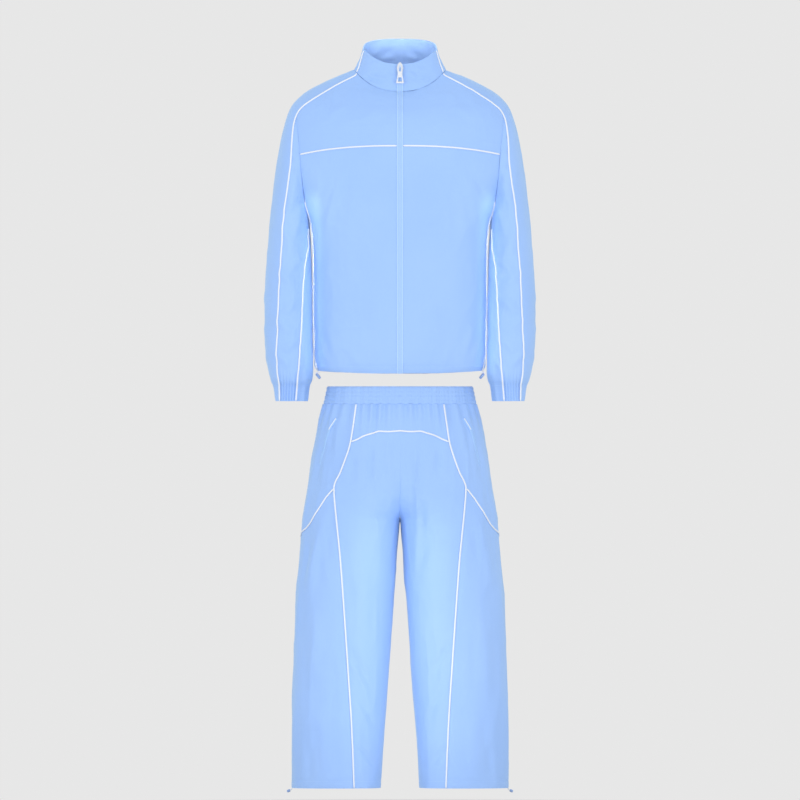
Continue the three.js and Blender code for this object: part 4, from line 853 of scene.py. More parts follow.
def turned_in(outer, normals, closed=False):
    """Sinks the cloth a little at its edges, where a seam pulls it in, and lifts it just beyond."""
    across = running_length(outer, 1)
    down = running_length(outer, 0)
    distance = np.minimum(down, down[-1:] - down)
    if not closed:
        distance = np.minimum(distance, np.minimum(across, across[:, -1:] - across))
    puff = SEAM_PUFF * np.exp(-((distance - SEAM_PUFF_AT) / 3) ** 2)
    dip = SEAM_DEPTH * np.exp(-(distance / SEAM_REACH) ** 2)
    return outer + normals * (puff - dip)[..., None]


pieces = {}
finishes = {}


def dress(obj, finish, slot, *nodes, body_name="suit"):
    """Puts a piece on its body, in place of its nodes, and notes its finish."""
    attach(obj, body_name)
    if nodes:
        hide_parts(*nodes)
    finishes[obj.name] = finish
    return obj


def cloth_piece(name, spots, thickness=CLOTH, closed=False):
    """A panel of cloth from its grid of points and directions."""
    outer, normals = spots
    outer = turned_in(outer, normals, closed)
    obj = dress(shell(name + "_cloth", outer, normals, thickness, closed), "cloth", "cloth", name)
    pieces[name] = {"obj": obj, "outer": outer, "normals": normals}


def whole_spots(form, half):
    """A grid across the centre, from its half listed from the centre outwards."""
    near = form.spots(half[..., 0], half[..., 1])
    far = form.spots(half[..., 0], half[..., 1], True)
    return tuple(np.concatenate([f[:, :0:-1], n], axis=1) for f, n in zip(far, near))


def joined_spots(blocks, mirrored):
    """Blocks of rows that follow one another. Where two forms meet, the shared row is their average."""
    spots = [form.spots(places[..., 0], places[..., 1], mirrored) for form, places in blocks]
    points, normals = spots[0]
    for next_points, next_normals in spots[1:]:
        shared = unit(normals[-1:] + next_normals[:1])
        points = np.concatenate([points[:-1], (points[-1:] + next_points[:1]) / 2, next_points[1:]])
        normals = np.concatenate([normals[:-1], shared, next_normals[1:]])
    return points, normals


def add_pair(name, blocks, thickness=CLOTH):
    blocks = [(form, edged(places)) for form, places in blocks]
    for suffix, mirrored in SIDES:
        cloth_piece(name + suffix, joined_spots(blocks, mirrored), thickness)


# Jacket: the counts are rows or columns of each grid
SIDE_ROWS = 86
SHOULDER_ROWS = 34
ARMHOLE_ROWS = 26
ARMPIT_COLUMNS = 14
SHOULDER_COLUMNS = 8
FRONT_COLUMNS = 46
COLLAR_ROWS = 20
COLLAR_FRONT_COLUMNS = 28
COLLAR_BACK_COLUMNS = 44
CAP_ROWS = 52
HANGING_ROWS = 86
SLEEVE_COLUMNS = 50


def angle_at(x, half_width):
    """The angle at which a ring of the body reaches a distance from the centre."""
    return np.degrees(np.arcsin((x / half_width) ** (TORSO_SQUARENESS / 2)))


def zip_angle(half_width):
    return angle_at(ZIP_EDGE, half_width)


def to_centre(edge, at_back, shares):
    """Rows of places from the zip or the back's centre to an edge."""
    rings = edge[:, 1]
    centre = np.full(len(rings), 180.0) if at_back else zip_angle(body_ring["halfWidth"](rings))
    return rule(pairs(centre, rings), edge, shares)


def armhole_run(low, high, count):
    return pairs(*armhole(spread(low, high, count)))


def side_seam(at_back):
    top = armhole(BACK_SIDE if at_back else FRONT_SIDE)
    heights = BODY_RINGS["zSide"]
    ring_numbers = np.arange(len(heights))
    z = spread(heights[0], np.interp(top[1], ring_numbers, heights), SIDE_ROWS)
    rings = np.interp(z, heights, ring_numbers)[:-1]
    return np.concatenate([pairs(body_seam_angle(side_x, rings, at_back, 45, 89.6), rings), [top]])


def shoulder_seam(at_back):
    end = armhole(BACK_SHOULDER if at_back else FRONT_SHOULDER)
    rings = spread(NECK_RING, end[1], SHOULDER_ROWS)[:-1]
    return np.concatenate([pairs(body_seam_angle(shoulder_x, rings, at_back, 25, 89), rings), [end]])


front_side_seam, back_side_seam = side_seam(False), side_seam(True)
front_shoulder_seam, back_shoulder_seam = shoulder_seam(False), shoulder_seam(True)
front_shares = spread(0, 1, FRONT_COLUMNS)

front_side_edge = chain(front_side_seam, armhole_run(FRONT_SIDE, 90, ARMHOLE_ROWS))
front_yoke_edge = chain(armhole_run(90, FRONT_SHOULDER, ARMHOLE_ROWS), front_shoulder_seam[::-1])
front_lower = to_centre(front_side_edge, False, front_shares)
front_yoke = to_centre(front_yoke_edge, False, front_shares)
armhole_bottom = chain(
    armhole_run(FRONT_SIDE, 0, ARMPIT_COLUMNS),
    armhole_run(0, BACK_SIDE, ARMPIT_COLUMNS),
)
side_hem = pairs(spread(front_side_seam[0, 0], back_side_seam[0, 0], 2 * ARMPIT_COLUMNS), 0)
side_panel = fill(side_hem, armhole_bottom, front_side_seam, back_side_seam)
back_edge = chain(
    back_side_seam,
    armhole_run(BACK_SIDE, -90, ARMHOLE_ROWS),
    armhole_run(-90, BACK_SHOULDER, ARMHOLE_ROWS),
    back_shoulder_seam[::-1],
)
add_pair("jacket_front", [(BODY, front_lower)])
add_pair("jacket_front_yoke", [(BODY, front_yoke)])
add_pair("jacket_side", [(BODY, side_panel)])
cloth_piece("jacket_back", whole_spots(BODY, edged(to_centre(back_edge, True, front_shares))))

collar_ups = spread(0, 1, COLLAR_ROWS)
collar_piping_angles = mix(
    front_shoulder_seam[0, 0],
    angle_at(COLLAR_PIPING_TOP, COLLAR_RIM["halfWidth"]),
    collar_ups,
)
collar_piping_places = pairs(collar_piping_angles, collar_ups)
collar_half_widths = mix(body_ring["halfWidth"](NECK_RING), COLLAR_RIM["halfWidth"], collar_ups)
collar_zip_edge = pairs(zip_angle(collar_half_widths), collar_ups)
collar_front = rule(collar_zip_edge, collar_piping_places, spread(0, 1, COLLAR_FRONT_COLUMNS))
collar_back = rule(pairs(180, collar_ups), collar_piping_places, spread(0, 1, COLLAR_BACK_COLUMNS))
add_pair("collar_front", [(COLLAR, collar_front)], COLLAR_CLOTH)
cloth_piece("collar_back", whole_spots(COLLAR, edged(collar_back)), COLLAR_CLOTH)

sleeve_rows = chain(spread(0, 1, CAP_ROWS), spread(1, 2, HANGING_ROWS))
band_top = chain(
    armhole_run(FRONT_SHOULDER, 180, SHOULDER_COLUMNS),
    armhole_run(180, BACK_SHOULDER + 360, SHOULDER_COLUMNS),
)
band_neck_angles = spread(front_shoulder_seam[0, 0], back_shoulder_seam[0, 0], 2 * SHOULDER_COLUMNS)
band_neck = pairs(band_neck_angles, NECK_RING)
band_on_body = fill(band_neck, band_top, front_shoulder_seam, back_shoulder_seam)
band_turns = [
    chain(
        spread(front_turn(along), 180, SHOULDER_COLUMNS),
        spread(180, back_turn(along) + 360, SHOULDER_COLUMNS),
    )
    for along in sleeve_rows
]
band_on_sleeve = pairs(np.array(band_turns), sleeve_rows[:, None])
sleeve_shares = spread(0, 1, SLEEVE_COLUMNS)
inner_edge = pairs(inner_turn(sleeve_rows), sleeve_rows)
front_edge = pairs(front_turn(sleeve_rows), sleeve_rows)
back_edge_of_sleeve = pairs(back_turn(sleeve_rows), sleeve_rows)
add_pair("sleeve_band", [(BODY, band_on_body), (SLEEVE, band_on_sleeve)])
add_pair("sleeve_front", [(SLEEVE, rule(inner_edge, front_edge, sleeve_shares))])
add_pair("sleeve_under", [(SLEEVE, rule(inner_edge, back_edge_of_sleeve, sleeve_shares))])


# Trousers
FINE = 14  # lines of the grid to one of the legs' rings, and on their backs
BACK_FINE = 12
RINGS_TO_YOKE = 3  # how many rings of the legs each stretch has
RINGS_TO_BRANCH = 5
RINGS_BELOW_BRANCH = 11
RINGS_TO_CROTCH = 7
RINGS_BACK_TO_CROTCH = 9
YOKE_ROWS = 24
BACK_YOKE_ROWS = 16
POCKET_ROWS = 8
WAISTBAND_ROWS = 22
WAIST_COLUMNS = 66


def ease(low, high, count, power):
    """Values from low to high that come closer together towards high."""
    t = spread(0, 1, count)
    return mix(low, high, 1 - (1 - t) ** power)


def princess_at(z):
    return pairs(princess_turn(z), z)


def outseam_at(z):
    return pairs(OUTSEAM, z)


def centre_at(z, sign=1):
    return pairs(sign * centre_turn(z), z)


def level_run(start, end, count):
    """Even places between two."""
    t = spread(0, 1, count)[:, None]
    return mix(np.asarray(start)[None], np.asarray(end)[None], t)


RISE_EASE = 1.5  # how the rows come closer together towards the crotch
INSEAM_EASE = 1.3
waist = np.array(WAIST_SEAM)
hem = np.array(float(TROUSER_HEM))
waist_front = level_run(centre_at(waist), princess_at(waist), WAIST_COLUMNS)
waist_side = level_run(princess_at(waist), outseam_at(waist), WAIST_COLUMNS)
waist_back = level_run(centre_at(waist, -1), outseam_at(waist), 2 * WAIST_COLUMNS)

band_z = spread(WAIST_TOP, WAIST_SEAM, WAISTBAND_ROWS)
band_columns = np.concatenate([waist_front[:-1, 0], waist_side[:, 0], waist_back[::-1][1:, 0]])
waist_half = pairs(band_columns[None, :], band_z[:, None])
near_band = WAISTBAND.spots(waist_half[..., 0], waist_half[..., 1])
far_band = WAISTBAND.spots(waist_half[..., 0], waist_half[..., 1], True)
round_band = tuple(np.concatenate([n, f[:, -2:0:-1]], axis=1) for n, f in zip(near_band, far_band))
cloth_piece("waistband", round_band, WAISTBAND_CLOTH, closed=True)

YOKE_END_X, YOKE_END_Z = FRONT_YOKE_LINE["x"][-1], FRONT_YOKE_LINE["z"][-1]
YOKE_CENTRE_Z = FRONT_YOKE_LINE["z"][0]
yoke_side_z = spread(WAIST_SEAM, YOKE_END_Z, YOKE_ROWS)
yoke_x = spread(0, YOKE_END_X, WAIST_COLUMNS)
yoke_line = pairs(trousers_turn(yoke_x, yoke_line_z(yoke_x)), yoke_line_z(yoke_x))
trouser_yoke = fill(
    waist_front,
    yoke_line,
    centre_at(spread(WAIST_SEAM, YOKE_CENTRE_Z, YOKE_ROWS)),
    princess_at(yoke_side_z),
)
cloth_piece("trouser_front_yoke", whole_spots(TROUSERS, edged(trouser_yoke)))

princess_z = spread(YOKE_END_Z, BRANCH_START, RINGS_TO_YOKE * FINE)
leg_z = ease(TROUSER_HEM, BRANCH_START, RINGS_BELOW_BRANCH * FINE, 1.35)[::-1]
rise_z = ease(YOKE_CENTRE_Z, CROTCH, RINGS_TO_CROTCH * FINE, RISE_EASE)
inseam_z = ease(TROUSER_HEM, CROTCH, RINGS_TO_CROTCH * FINE, INSEAM_EASE)[::-1]
every_second = slice(None, None, 2)
centre_front = fill(
    yoke_line[every_second],
    level_run(centre_at(hem), princess_at(hem), WAIST_COLUMNS // 2),
    centre_at(chain(rise_z, inseam_z)),
    princess_at(chain(princess_z, leg_z)),
)
add_pair("trouser_centre_front", [(TROUSERS, centre_front)])

branch_share = spread(0, 1, WAIST_COLUMNS)
branch = pairs(
    mix(princess_turn(BRANCH_START), OUTSEAM, branch_share),
    BRANCH_START - branch_drop(branch_share),
)
pocket_princess_z = chain(
    spread(WAIST_SEAM, YOKE_END_Z, RINGS_TO_YOKE * POCKET_ROWS),
    spread(YOKE_END_Z, BRANCH_START, RINGS_TO_YOKE * POCKET_ROWS),
)
pocket_outseam_z = chain(
    spread(WAIST_SEAM, BACK_YOKE_SIDE, POCKET_ROWS),
    spread(BACK_YOKE_SIDE, BRANCH_END, RINGS_TO_BRANCH * POCKET_ROWS),
)
pocket_side = fill(waist_side, branch, princess_at(pocket_princess_z), outseam_at(pocket_outseam_z))
add_pair("trouser_pocket_side", [(TROUSERS, pocket_side)])

outer_leg = fill(
    branch[every_second],
    level_run(princess_at(hem), outseam_at(hem), WAIST_COLUMNS // 2),
    princess_at(leg_z),
    outseam_at(spread(BRANCH_END, TROUSER_HEM, RINGS_BELOW_BRANCH * FINE)),
)
add_pair("trouser_outer_leg", [(TROUSERS, outer_leg)])


def back_yoke_z(share):
    """The height of the back yoke's seam, from the centre at 0 to the side at 1."""
    return BACK_YOKE_SIDE - BACK_YOKE_DIP * (1 - share) ** 1.3


back_share = spread(0, 1, 2 * WAIST_COLUMNS)
back_yoke_low = float(back_yoke_z(0))
back_yoke_line = pairs(mix(-centre_turn(back_yoke_low), OUTSEAM, back_share), back_yoke_z(back_share))
back_yoke = fill(
    waist_back,
    back_yoke_line,
    centre_at(spread(WAIST_SEAM, back_yoke_low, BACK_YOKE_ROWS), -1),
    outseam_at(spread(WAIST_SEAM, BACK_YOKE_SIDE, BACK_YOKE_ROWS)),
)
cloth_piece("trouser_back_yoke", whole_spots(TROUSERS, edged(back_yoke)))
back_centre_z = chain(
    ease(back_yoke_low, CROTCH, RINGS_BACK_TO_CROTCH * BACK_FINE, RISE_EASE),
    ease(TROUSER_HEM, CROTCH, RINGS_TO_CROTCH * BACK_FINE, INSEAM_EASE)[::-1],
)
back_outseam_z = chain(
    spread(BACK_YOKE_SIDE, BRANCH_END, RINGS_TO_BRANCH * BACK_FINE),
    spread(BRANCH_END, TROUSER_HEM, RINGS_BELOW_BRANCH * BACK_FINE),
)
back_leg = fill(
    back_yoke_line[every_second],
    level_run(centre_at(hem, -1), outseam_at(hem), WAIST_COLUMNS),
    centre_at(back_centre_z, -1),
    outseam_at(back_outseam_z),
)
add_pair("trouser_back", [(TROUSERS, back_leg)])


# Piping, zip and small pieces
def end_caps(rows, sides):
    """The faces that close a tube's first and last ring."""
    k = np.arange(sides // 2 - 1)
    first = np.stack([k, k + 1, sides - 2 - k, sides - 1 - k], -1)
    return [first, first[:, ::-1] + (rows - 1) * sides]


def ring_section(across, out, centre_out, step):
    """An oval section as [across, out] points, one for each step of the turn."""
    turns = np.radians(np.arange(0, 360, step))
    return np.stack([across * np.cos(turns), centre_out + out * np.sin(turns)], -1)


ROUND_ENDS = (0.45, 0.8)
SQUARE_ENDS = (1, 1)
STRIP_WIDTH = 8  # of cloth round any swept strip


def sweep(name, points, normals, section, rounding=ROUND_ENDS):
    """A closed strip along a line, with its section as [across, out] points and narrowed ends."""
    section = np.asarray(section, float)
    middle = section.mean(0)
    tangents = unit(np.gradient(points, axis=0))
    across = unit(np.cross(tangents, normals))
    scales = np.ones(len(points))
    scales[: len(rounding)] = rounding
    scales[-len(rounding):] = rounding[::-1]
    spans = (section - middle)[None] * scales[:, None, None] + middle
    rings = points[:, None] + across[:, None] * spans[..., :1] + normals[:, None] * spans[..., 1:]
    rows, sides = rings.shape[:2]
    faces = [quads_of(rows, sides, 0, True), *end_caps(rows, sides)]
    along = running_length(points, 0)
    turn = np.arange(sides) / sides * STRIP_WIDTH
    return make_mesh(name, rings, np.concatenate(faces), stack(turn[None, :], along[:, None]))


def interpolated(at, lengths, values):
    return np.stack([np.interp(at, lengths, values[:, i]) for i in range(3)], -1)


def even_line(points, normals, spacing):
    """Points at even steps along a line, with its directions."""
    length = running_length(points, 0)
    steps = np.linspace(0, length[-1], max(int(length[-1] / spacing), 4) + 1)
    return interpolated(steps, length, points), unit(interpolated(steps, length, normals))


PIPE_SECTION = ring_section(2.05, 1.75, 1.15, 36)
PIPE_STEP = 2.2
FINE_STEP = 1.0
PIPE_END = 0.6  # how far a line of piping stops short of its seam's end
PIPE_AT_ARMHOLE = 1.0  # farther below the armhole, and where it meets other piping
PIPE_AT_PIPE = 1.6


def trim_line(points, normals, start, end):
    """A line without its first and last stretches."""
    length = running_length(points, 0)
    keep = (length >= start) & (length <= length[-1] - end)
    return points[keep], normals[keep]


def add_piping(name, line, start, end):
    trimmed = trim_line(*even_line(*line, FINE_STEP), start, end)
    points, normals = even_line(*trimmed, PIPE_STEP)
    dress(sweep(name, points, normals, PIPE_SECTION), "piping", "piping", name)


def line_spots(blocks, mirrored=False):
    """The points and directions along a line, from its places on each form."""
    spots = [form.spots(places[..., 0], places[..., 1], mirrored) for form, places in blocks]
    return tuple(np.concatenate(parts) for parts in zip(*spots))


INNER_PIPING_START = 0.5
inner_rows = sleeve_rows[sleeve_rows >= INNER_PIPING_START]
inner_line = pairs(inner_turn(inner_rows), inner_rows)
princess_line = princess_at(chain(yoke_side_z, princess_z, leg_z))
# each line's blocks of places, and how far its start and its end stop short
pair_lines = {
    "piping_shoulder": ([(BODY, front_shoulder_seam[:-1]), (SLEEVE, front_edge)], PIPE_AT_PIPE, PIPE_END),
    "piping_side": ([(BODY, front_side_seam)], PIPE_END, PIPE_AT_ARMHOLE),
    "piping_inner_sleeve": ([(SLEEVE, inner_line)], PIPE_END, PIPE_END),
    "piping_yoke": ([(BODY, front_lower[-1])], PIPE_END, PIPE_AT_PIPE),
    "piping_collar": ([(COLLAR, collar_piping_places)], PIPE_AT_PIPE, PIPE_END),
    "piping_princess": ([(TROUSERS, princess_line)], PIPE_END, PIPE_END),
    "piping_branch": ([(TROUSERS, branch)], PIPE_AT_PIPE, PIPE_END),
}
for name, (blocks, start, end) in pair_lines.items():
    for suffix, mirrored in SIDES:
        add_piping(name + suffix, line_spots(blocks, mirrored), start, end)
for name, places in {"piping_trouser_yoke": yoke_line, "piping_back_yoke": back_yoke_line}.items():
    points, normals = whole_spots(TROUSERS, places[None])
    add_piping(name, (points[0], normals[0]), PIPE_AT_PIPE, PIPE_AT_PIPE)


# Zip: the tape with its two edges, a raised strip on each edge painted a lighter blue as a painted
# highlight, and coil teeth along its middle
ZIP_ROWS = 160
ZIP_ROWS_IN_COLLAR = 24
ZIP_STEP = 3.0
zip_on_body = pairs(0, spread(0, NECK_RING, ZIP_ROWS))
zip_on_collar = pairs(0, spread(0, 1, ZIP_ROWS_IN_COLLAR))
zip_line = line_spots([(BODY, zip_on_body), (COLLAR, zip_on_collar)])
zip_points, zip_normals = even_line(*zip_line, ZIP_STEP)
TAPE_PROFILE = [
    (-ZIP_HALF, -0.9), (-4.0, -0.9), (0, -0.9), (4.0, -0.9), (ZIP_HALF, -0.9),
    (ZIP_HALF, -0.1), (5.2, 0.1), (4.4, 0.0), (2.4, 0.1), (0, 0.5), (-2.4, 0.1), (-4.4, 0.0),
    (-5.2, 0.1), (-ZIP_HALF, -0.1),
]
tape = sweep("zip_tape_cloth", zip_points, zip_normals, TAPE_PROFILE, SQUARE_ENDS)
dress(tape, "tape", "zip_tape", "zip_tape")

# Raised strips along both edges of the tape. Their raised bead is real shape, but their lighter blue is a
# painted highlight on the raised edges beside the zip.
HIGHLIGHT_STRIP_SECTION = np.array([(-1.2, 0), (1.2, 0), (1.2, 0.35), (0.6, 0.6), (-0.6, 0.6), (-1.2, 0.35)])
HIGHLIGHT_STRIP_PLACE = np.array([5.5, 0.05])
for side, name in ((1, "zip_edge_highlight_left"), (-1, "zip_edge_highlight_right")):
    profile = HIGHLIGHT_STRIP_SECTION + HIGHLIGHT_STRIP_PLACE * [side, 1]
    dress(sweep(name, zip_points, zip_normals, profile, SQUARE_ENDS), "edge", "zip_tape")


def scattered(name, template, faces, centres, tangents, normals):
    """Many copies of one small closed form, each set along its own direction."""
    across = unit(np.cross(tangents, normals))
    out = unit(np.cross(across, tangents))
    template = np.asarray(template, float)
    points = (
        centres[:, None]
        + across[:, None] * template[None, :, :1]
        + tangents[:, None] * template[None, :, 1:2]
        + out[:, None] * template[None, :, 2:]
    )
    count = len(template)
    every = np.asarray(faces)[None] + (np.arange(len(centres)) * count)[:, None, None]
    return make_mesh(name, points, every.reshape(-1, np.asarray(faces).shape[1]), sharp=35)


def bar(half_width, half_length, low, high, end_size=0.6):
    """A small bar with narrowed ends: its points and faces, lying along the second axis."""
    points = []
    middle = (low + high) / 2
    full = half_length * 0.55
    for y, k in ((-half_length, end_size), (-full, 1), (full, 1), (half_length, end_size)):
        rise = (high - low) / 2 * k
        points += [(-half_width * k, y, middle - rise), (half_width * k, y, middle - rise)]
        points += [(half_width * k, y, middle + rise), (-half_width * k, y, middle + rise)]
    faces = [(0, 1, 2, 3), (15, 14, 13, 12)]
    for r in range(3):
        for k in range(4):
            a, b = 4 * r + k, 4 * r + (k + 1) % 4
            faces.append((b, a, a + 4, b + 4))
    return points, faces


TOOTH_PITCH = 1.5
TOOTH_OUT_OF_LINE = 0.95
TOOTH_POINTS, TOOTH_FACES = bar(0.46, 1.25, 0.0, 0.95)
tooth_points, tooth_normals = even_line(*zip_line, TOOTH_PITCH)
tooth_tangents = unit(np.gradient(tooth_points, axis=0))
tooth_across = unit(np.cross(tooth_tangents, tooth_normals))
for side, name in ((1, "zip_teeth_left"), (-1, "zip_teeth_right")):
    shift = tooth_tangents * TOOTH_PITCH / 4 * side
    across_zip = [(y, x, z) for x, y, z in TOOTH_POINTS]
    centres = tooth_points + tooth_across * TOOTH_OUT_OF_LINE * side + shift
    row = scattered(name, across_zip, TOOTH_FACES, centres, tooth_tangents, tooth_normals)
    dress(row, "teeth", "zip_tape")


# Pockets: a welt on the slanted opening, and a cord puller at its top
def pocket_line(low, high, mirrored):
    z = spread(low, high, POCKET_LINE_ROWS)
    return TROUSERS.spots(trousers_turn(pocket_x(z), z), z, mirrored)


POCKET_TOP = POCKET_LINE["z"][-1]
POCKET_BOTTOM = POCKET_LINE["z"][0]
POCKET_LINE_ROWS = 40
PULLER_LENGTH = 27
WELT_SECTION = [
    (-3.4, -0.6), (3.4, -0.6), (3.4, 0.5), (2.6, 1.15), (0.3, 1.25), (0.05, 0.35), (-0.4, 0.3), (-0.8, 1.2),
    (-2.8, 1.1), (-3.4, 0.5),
]
WELT_ENDS = (0.9, 1)
PULLER_SECTION = PIPE_SECTION * [0.5, 0.6] + [0, 1.0]
for suffix, mirrored in SIDES:
    opening = pocket_line(POCKET_BOTTOM, POCKET_TOP, mirrored)
    welt = sweep("pocket_welt_cloth" + suffix, *opening, WELT_SECTION, WELT_ENDS)
    dress(welt, "tape", "cloth", "pocket_welt" + suffix)
    hanging = pocket_line(POCKET_TOP - PULLER_LENGTH, POCKET_TOP, mirrored)
    puller = sweep("pocket_cord" + suffix, *hanging, PULLER_SECTION)
    dress(puller, "cord", "piping", "pocket_puller" + suffix)


# Zip slider, its bail and pull tab
collar_foot, collar_top = collar(0, 0), collar(0, 1)
lean = math.atan2(collar_top[1] - collar_foot[1], collar_top[2] - collar_foot[2])
head_centre = mix(collar_foot, collar_top, -collar_foot[2] / (collar_top[2] - collar_foot[2]))


METAL_SHARP = 35  # degrees above which an edge looks sharp


def flat_piece(name, outlines, low, high, bevel):
    """A flat metal piece with rounded edges, from its outline and holes, between two distances out."""
    curve = bpy.data.curves.new(name, "CURVE")
    curve.dimensions = "2D"
    curve.fill_mode = "BOTH"
    curve.extrude = ((high - low) / 2 - bevel) * SCALE
    curve.bevel_depth = bevel * SCALE
    curve.bevel_resolution = 3
    for corners in outlines:
        line = curve.splines.new("POLY")
        line.points.add(len(corners) - 1)
        for point, (x, z) in zip(line.points, corners):
            point.co = (x * SCALE, z * SCALE, 0, 1)
        line.use_cyclic_u = True
    return from_curve(name, curve, (low + high) / 2)


def from_curve(name, curve, out):
    """Turns a curve in the plane of the zip's head into a mesh in the part's frame."""
    holder = bpy.data.objects.new(name + "_line", curve)
    mesh = bpy.data.meshes.new_from_object(holder)
    bpy.data.objects.remove(holder)
    mesh.name = name
    co = np.zeros(len(mesh.vertices) * 3)
    mesh.vertices.foreach_get("co", co)
    x, up, depth = (co.reshape(-1, 3) / SCALE).T
    distance = out + depth
    y = head_centre[1] - distance * math.cos(lean) + up * math.sin(lean)
    z = head_centre[2] + distance * math.sin(lean) + up * math.cos(lean)
    mesh.vertices.foreach_set("co", (np.stack([x, y, z], -1) * SCALE).ravel())
    mesh.flip_normals()
    mesh.polygons.foreach_set("use_smooth", np.ones(len(mesh.polygons), bool))
    mesh.set_sharp_from_angle(angle=math.radians(METAL_SHARP))
    obj = bpy.data.objects.new(name, mesh)
    bpy.context.scene.collection.objects.link(obj)
    return obj


def rounded(corners, radius, steps=4):
    """Cuts a polygon's corners with short arcs."""
    result = []
    count = len(corners)
    for i, corner in enumerate(corners):
        here = np.array(corner, float)
        before = np.array(corners[i - 1], float) - here
        after = np.array(corners[(i + 1) % count], float) - here
        r = min(radius, 0.45 * np.linalg.norm(before), 0.45 * np.linalg.norm(after))
        start = here + before / np.linalg.norm(before) * r
        end = here + after / np.linalg.norm(after) * r
        for t in np.linspace(0, 1, steps + 1):
            result.append(mix(mix(start, here, t), mix(here, end, t), t))
    return result


def half_outline(rows, narrower=0.0):
    """A whole outline from the table of its right half."""
    right = [(x - narrower * (x > 0), z) for x, z in zip(rows["x"], rows["z"])]
    return right + [(-x, z) for x, z in reversed(right) if x > 0]


# distances out from the collar's front
SLIDER_LOW, SLIDER_MIDDLE, SLIDER_HIGH = 1.6, 3.0, 4.4
PULL_LOW, PULL_HIGH = 5.45, 6.95
SLIDER_CORNER = 1.6
BAIL_RADIUS = 0.75
BAIL_WIDENING = 1.5
BAIL_PATH = [(3.0, 2.7), (3.7, 6.2), (5.0, 8.1), (8.25, 8.45), (11.5, 8.1), (12.9, 6.2), (13.7, 2.7)]
SLOT = [(-2.7, -0.8), (2.7, -0.8), (2.4, 9.6), (-2.4, 9.6)]
HOLE = [(-4.9, -24.2), (4.9, -24.2), (4.3, -13.8), (-4.3, -13.8)]
INLAY = [(-3, -1.2), (3, -1.2), (2.8, 10.4), (-2.8, 10.4)]


def slider_bail():
    """The bent wire that holds the pull tab on the slider, from its path as [up, out] points."""
    curve = bpy.data.curves.new("zip_bail", "CURVE")
    curve.dimensions = "3D"
    curve.bevel_depth = BAIL_RADIUS * SCALE
    curve.bevel_resolution = 4
    curve.use_fill_caps = True
    bends = 3
    path = rounded(BAIL_PATH, 1.6, bends)[bends:-bends]
    line = curve.splines.new("POLY")
    line.points.add(len(path) - 1)
    for point, (up, out) in zip(line.points, path):
        point.co = (0, up * SCALE, out * SCALE, 1)
    bail = from_curve("zip_bail", curve, 0)
    co = np.zeros(len(bail.data.vertices) * 3)
    bail.data.vertices.foreach_get("co", co)
    bail.data.vertices.foreach_set("co", (co.reshape(-1, 3) * [BAIL_WIDENING, 1, 1]).ravel())
    return bail


slider_outline = rounded(half_outline(SLIDER_OUTLINE), SLIDER_CORNER)
base_outline = rounded(half_outline(SLIDER_OUTLINE, 0.6), SLIDER_CORNER)
slider_top = flat_piece("zip_slider_top", [slider_outline], SLIDER_MIDDLE, SLIDER_HIGH, 0.45)
slider_base = flat_piece("zip_slider_base", [base_outline], SLIDER_LOW, SLIDER_MIDDLE + 0.1, 0.4)
dress(slider_top, "metal", "zip_metal", "zip_slider")
dress(slider_base, "metal", "zip_metal")
dress(slider_bail(), "teeth", "zip_metal")
pull_outlines = [rounded(half_outline(PULL_OUTLINE), 1.4), rounded(SLOT, 2.0), rounded(HOLE, 1.5)]
pull_tab = flat_piece("zip_pull_tab", pull_outlines, PULL_LOW, PULL_HIGH, 0.35)
dress(pull_tab, "metal", "zip_metal", "zip_pull", body_name="pull_tab")
inlay = flat_piece("zip_slider_inlay", [rounded(INLAY, 2.2)], SLIDER_HIGH - 0.2, SLIDER_HIGH + 0.15, 0.1)
dress(inlay, "teeth", "zip_metal")


# Elastic cords and toggles at the hems' sides
def tube_points(run, rows):
    """Points along a smooth curve through a short table of places."""
    points = np.stack([run["x"], run["y"], run["z"]], -1)
    padded = np.concatenate([[2 * points[0] - points[1]], points, [2 * points[-1] - points[-2]]])
    result = []
    for t in np.linspace(0, len(points) - 1, rows + 1):
        i = min(int(t), len(points) - 2)
        u = t - i
        p0, p1, p2, p3 = padded[i: i + 4]
        square = 2 * p0 - 5 * p1 + 4 * p2 - p3
        cube = 3 * p1 - p0 - 3 * p2 + p3
        result.append(0.5 * (2 * p1 + (p2 - p0) * u + square * u ** 2 + cube * u ** 3))
    return np.array(result)


def turned_piece(name, start, axis, profile, sides=28):
    """A piece turned on a lathe: profile is [radius, distance along] from its first end to its last."""
    axis = unit(axis)
    side = unit(np.cross(axis, [0.0, 1.0, 0.3]))
    third = np.cross(axis, side)
    turns = np.linspace(0, 2 * np.pi, sides, endpoint=False)[:, None]
    circle = side * np.cos(turns) + third * np.sin(turns)
    rings = np.array([start + axis * along + circle * radius for radius, along in profile])
    faces = [quads_of(len(profile), sides, 0, True), *end_caps(len(profile), sides)]
    return make_mesh(name, rings, np.concatenate(faces), sharp=40)


def toggle_profile(length):
    """A barrel with a lipped mouth, grooves round its middle and a rounded end."""
    profile = [(0.3, 0.6), (1.3, 0.6), (1.5, 0.9), (2.3, 1.0), (3.0, 1.7)]
    for along in np.linspace(2.4, length - 2.4, 13):
        in_middle = abs(along - length / 2) < length * 0.22
        grooved = in_middle and int(along * 2.2) % 2
        profile.append((TOGGLE_RADIUS - (GROOVE_DEPTH if grooved else 0), along))
    return profile + [(3.0, length - 1.2), (2.3, length - 0.4), (1.2, length), (0.3, length)]


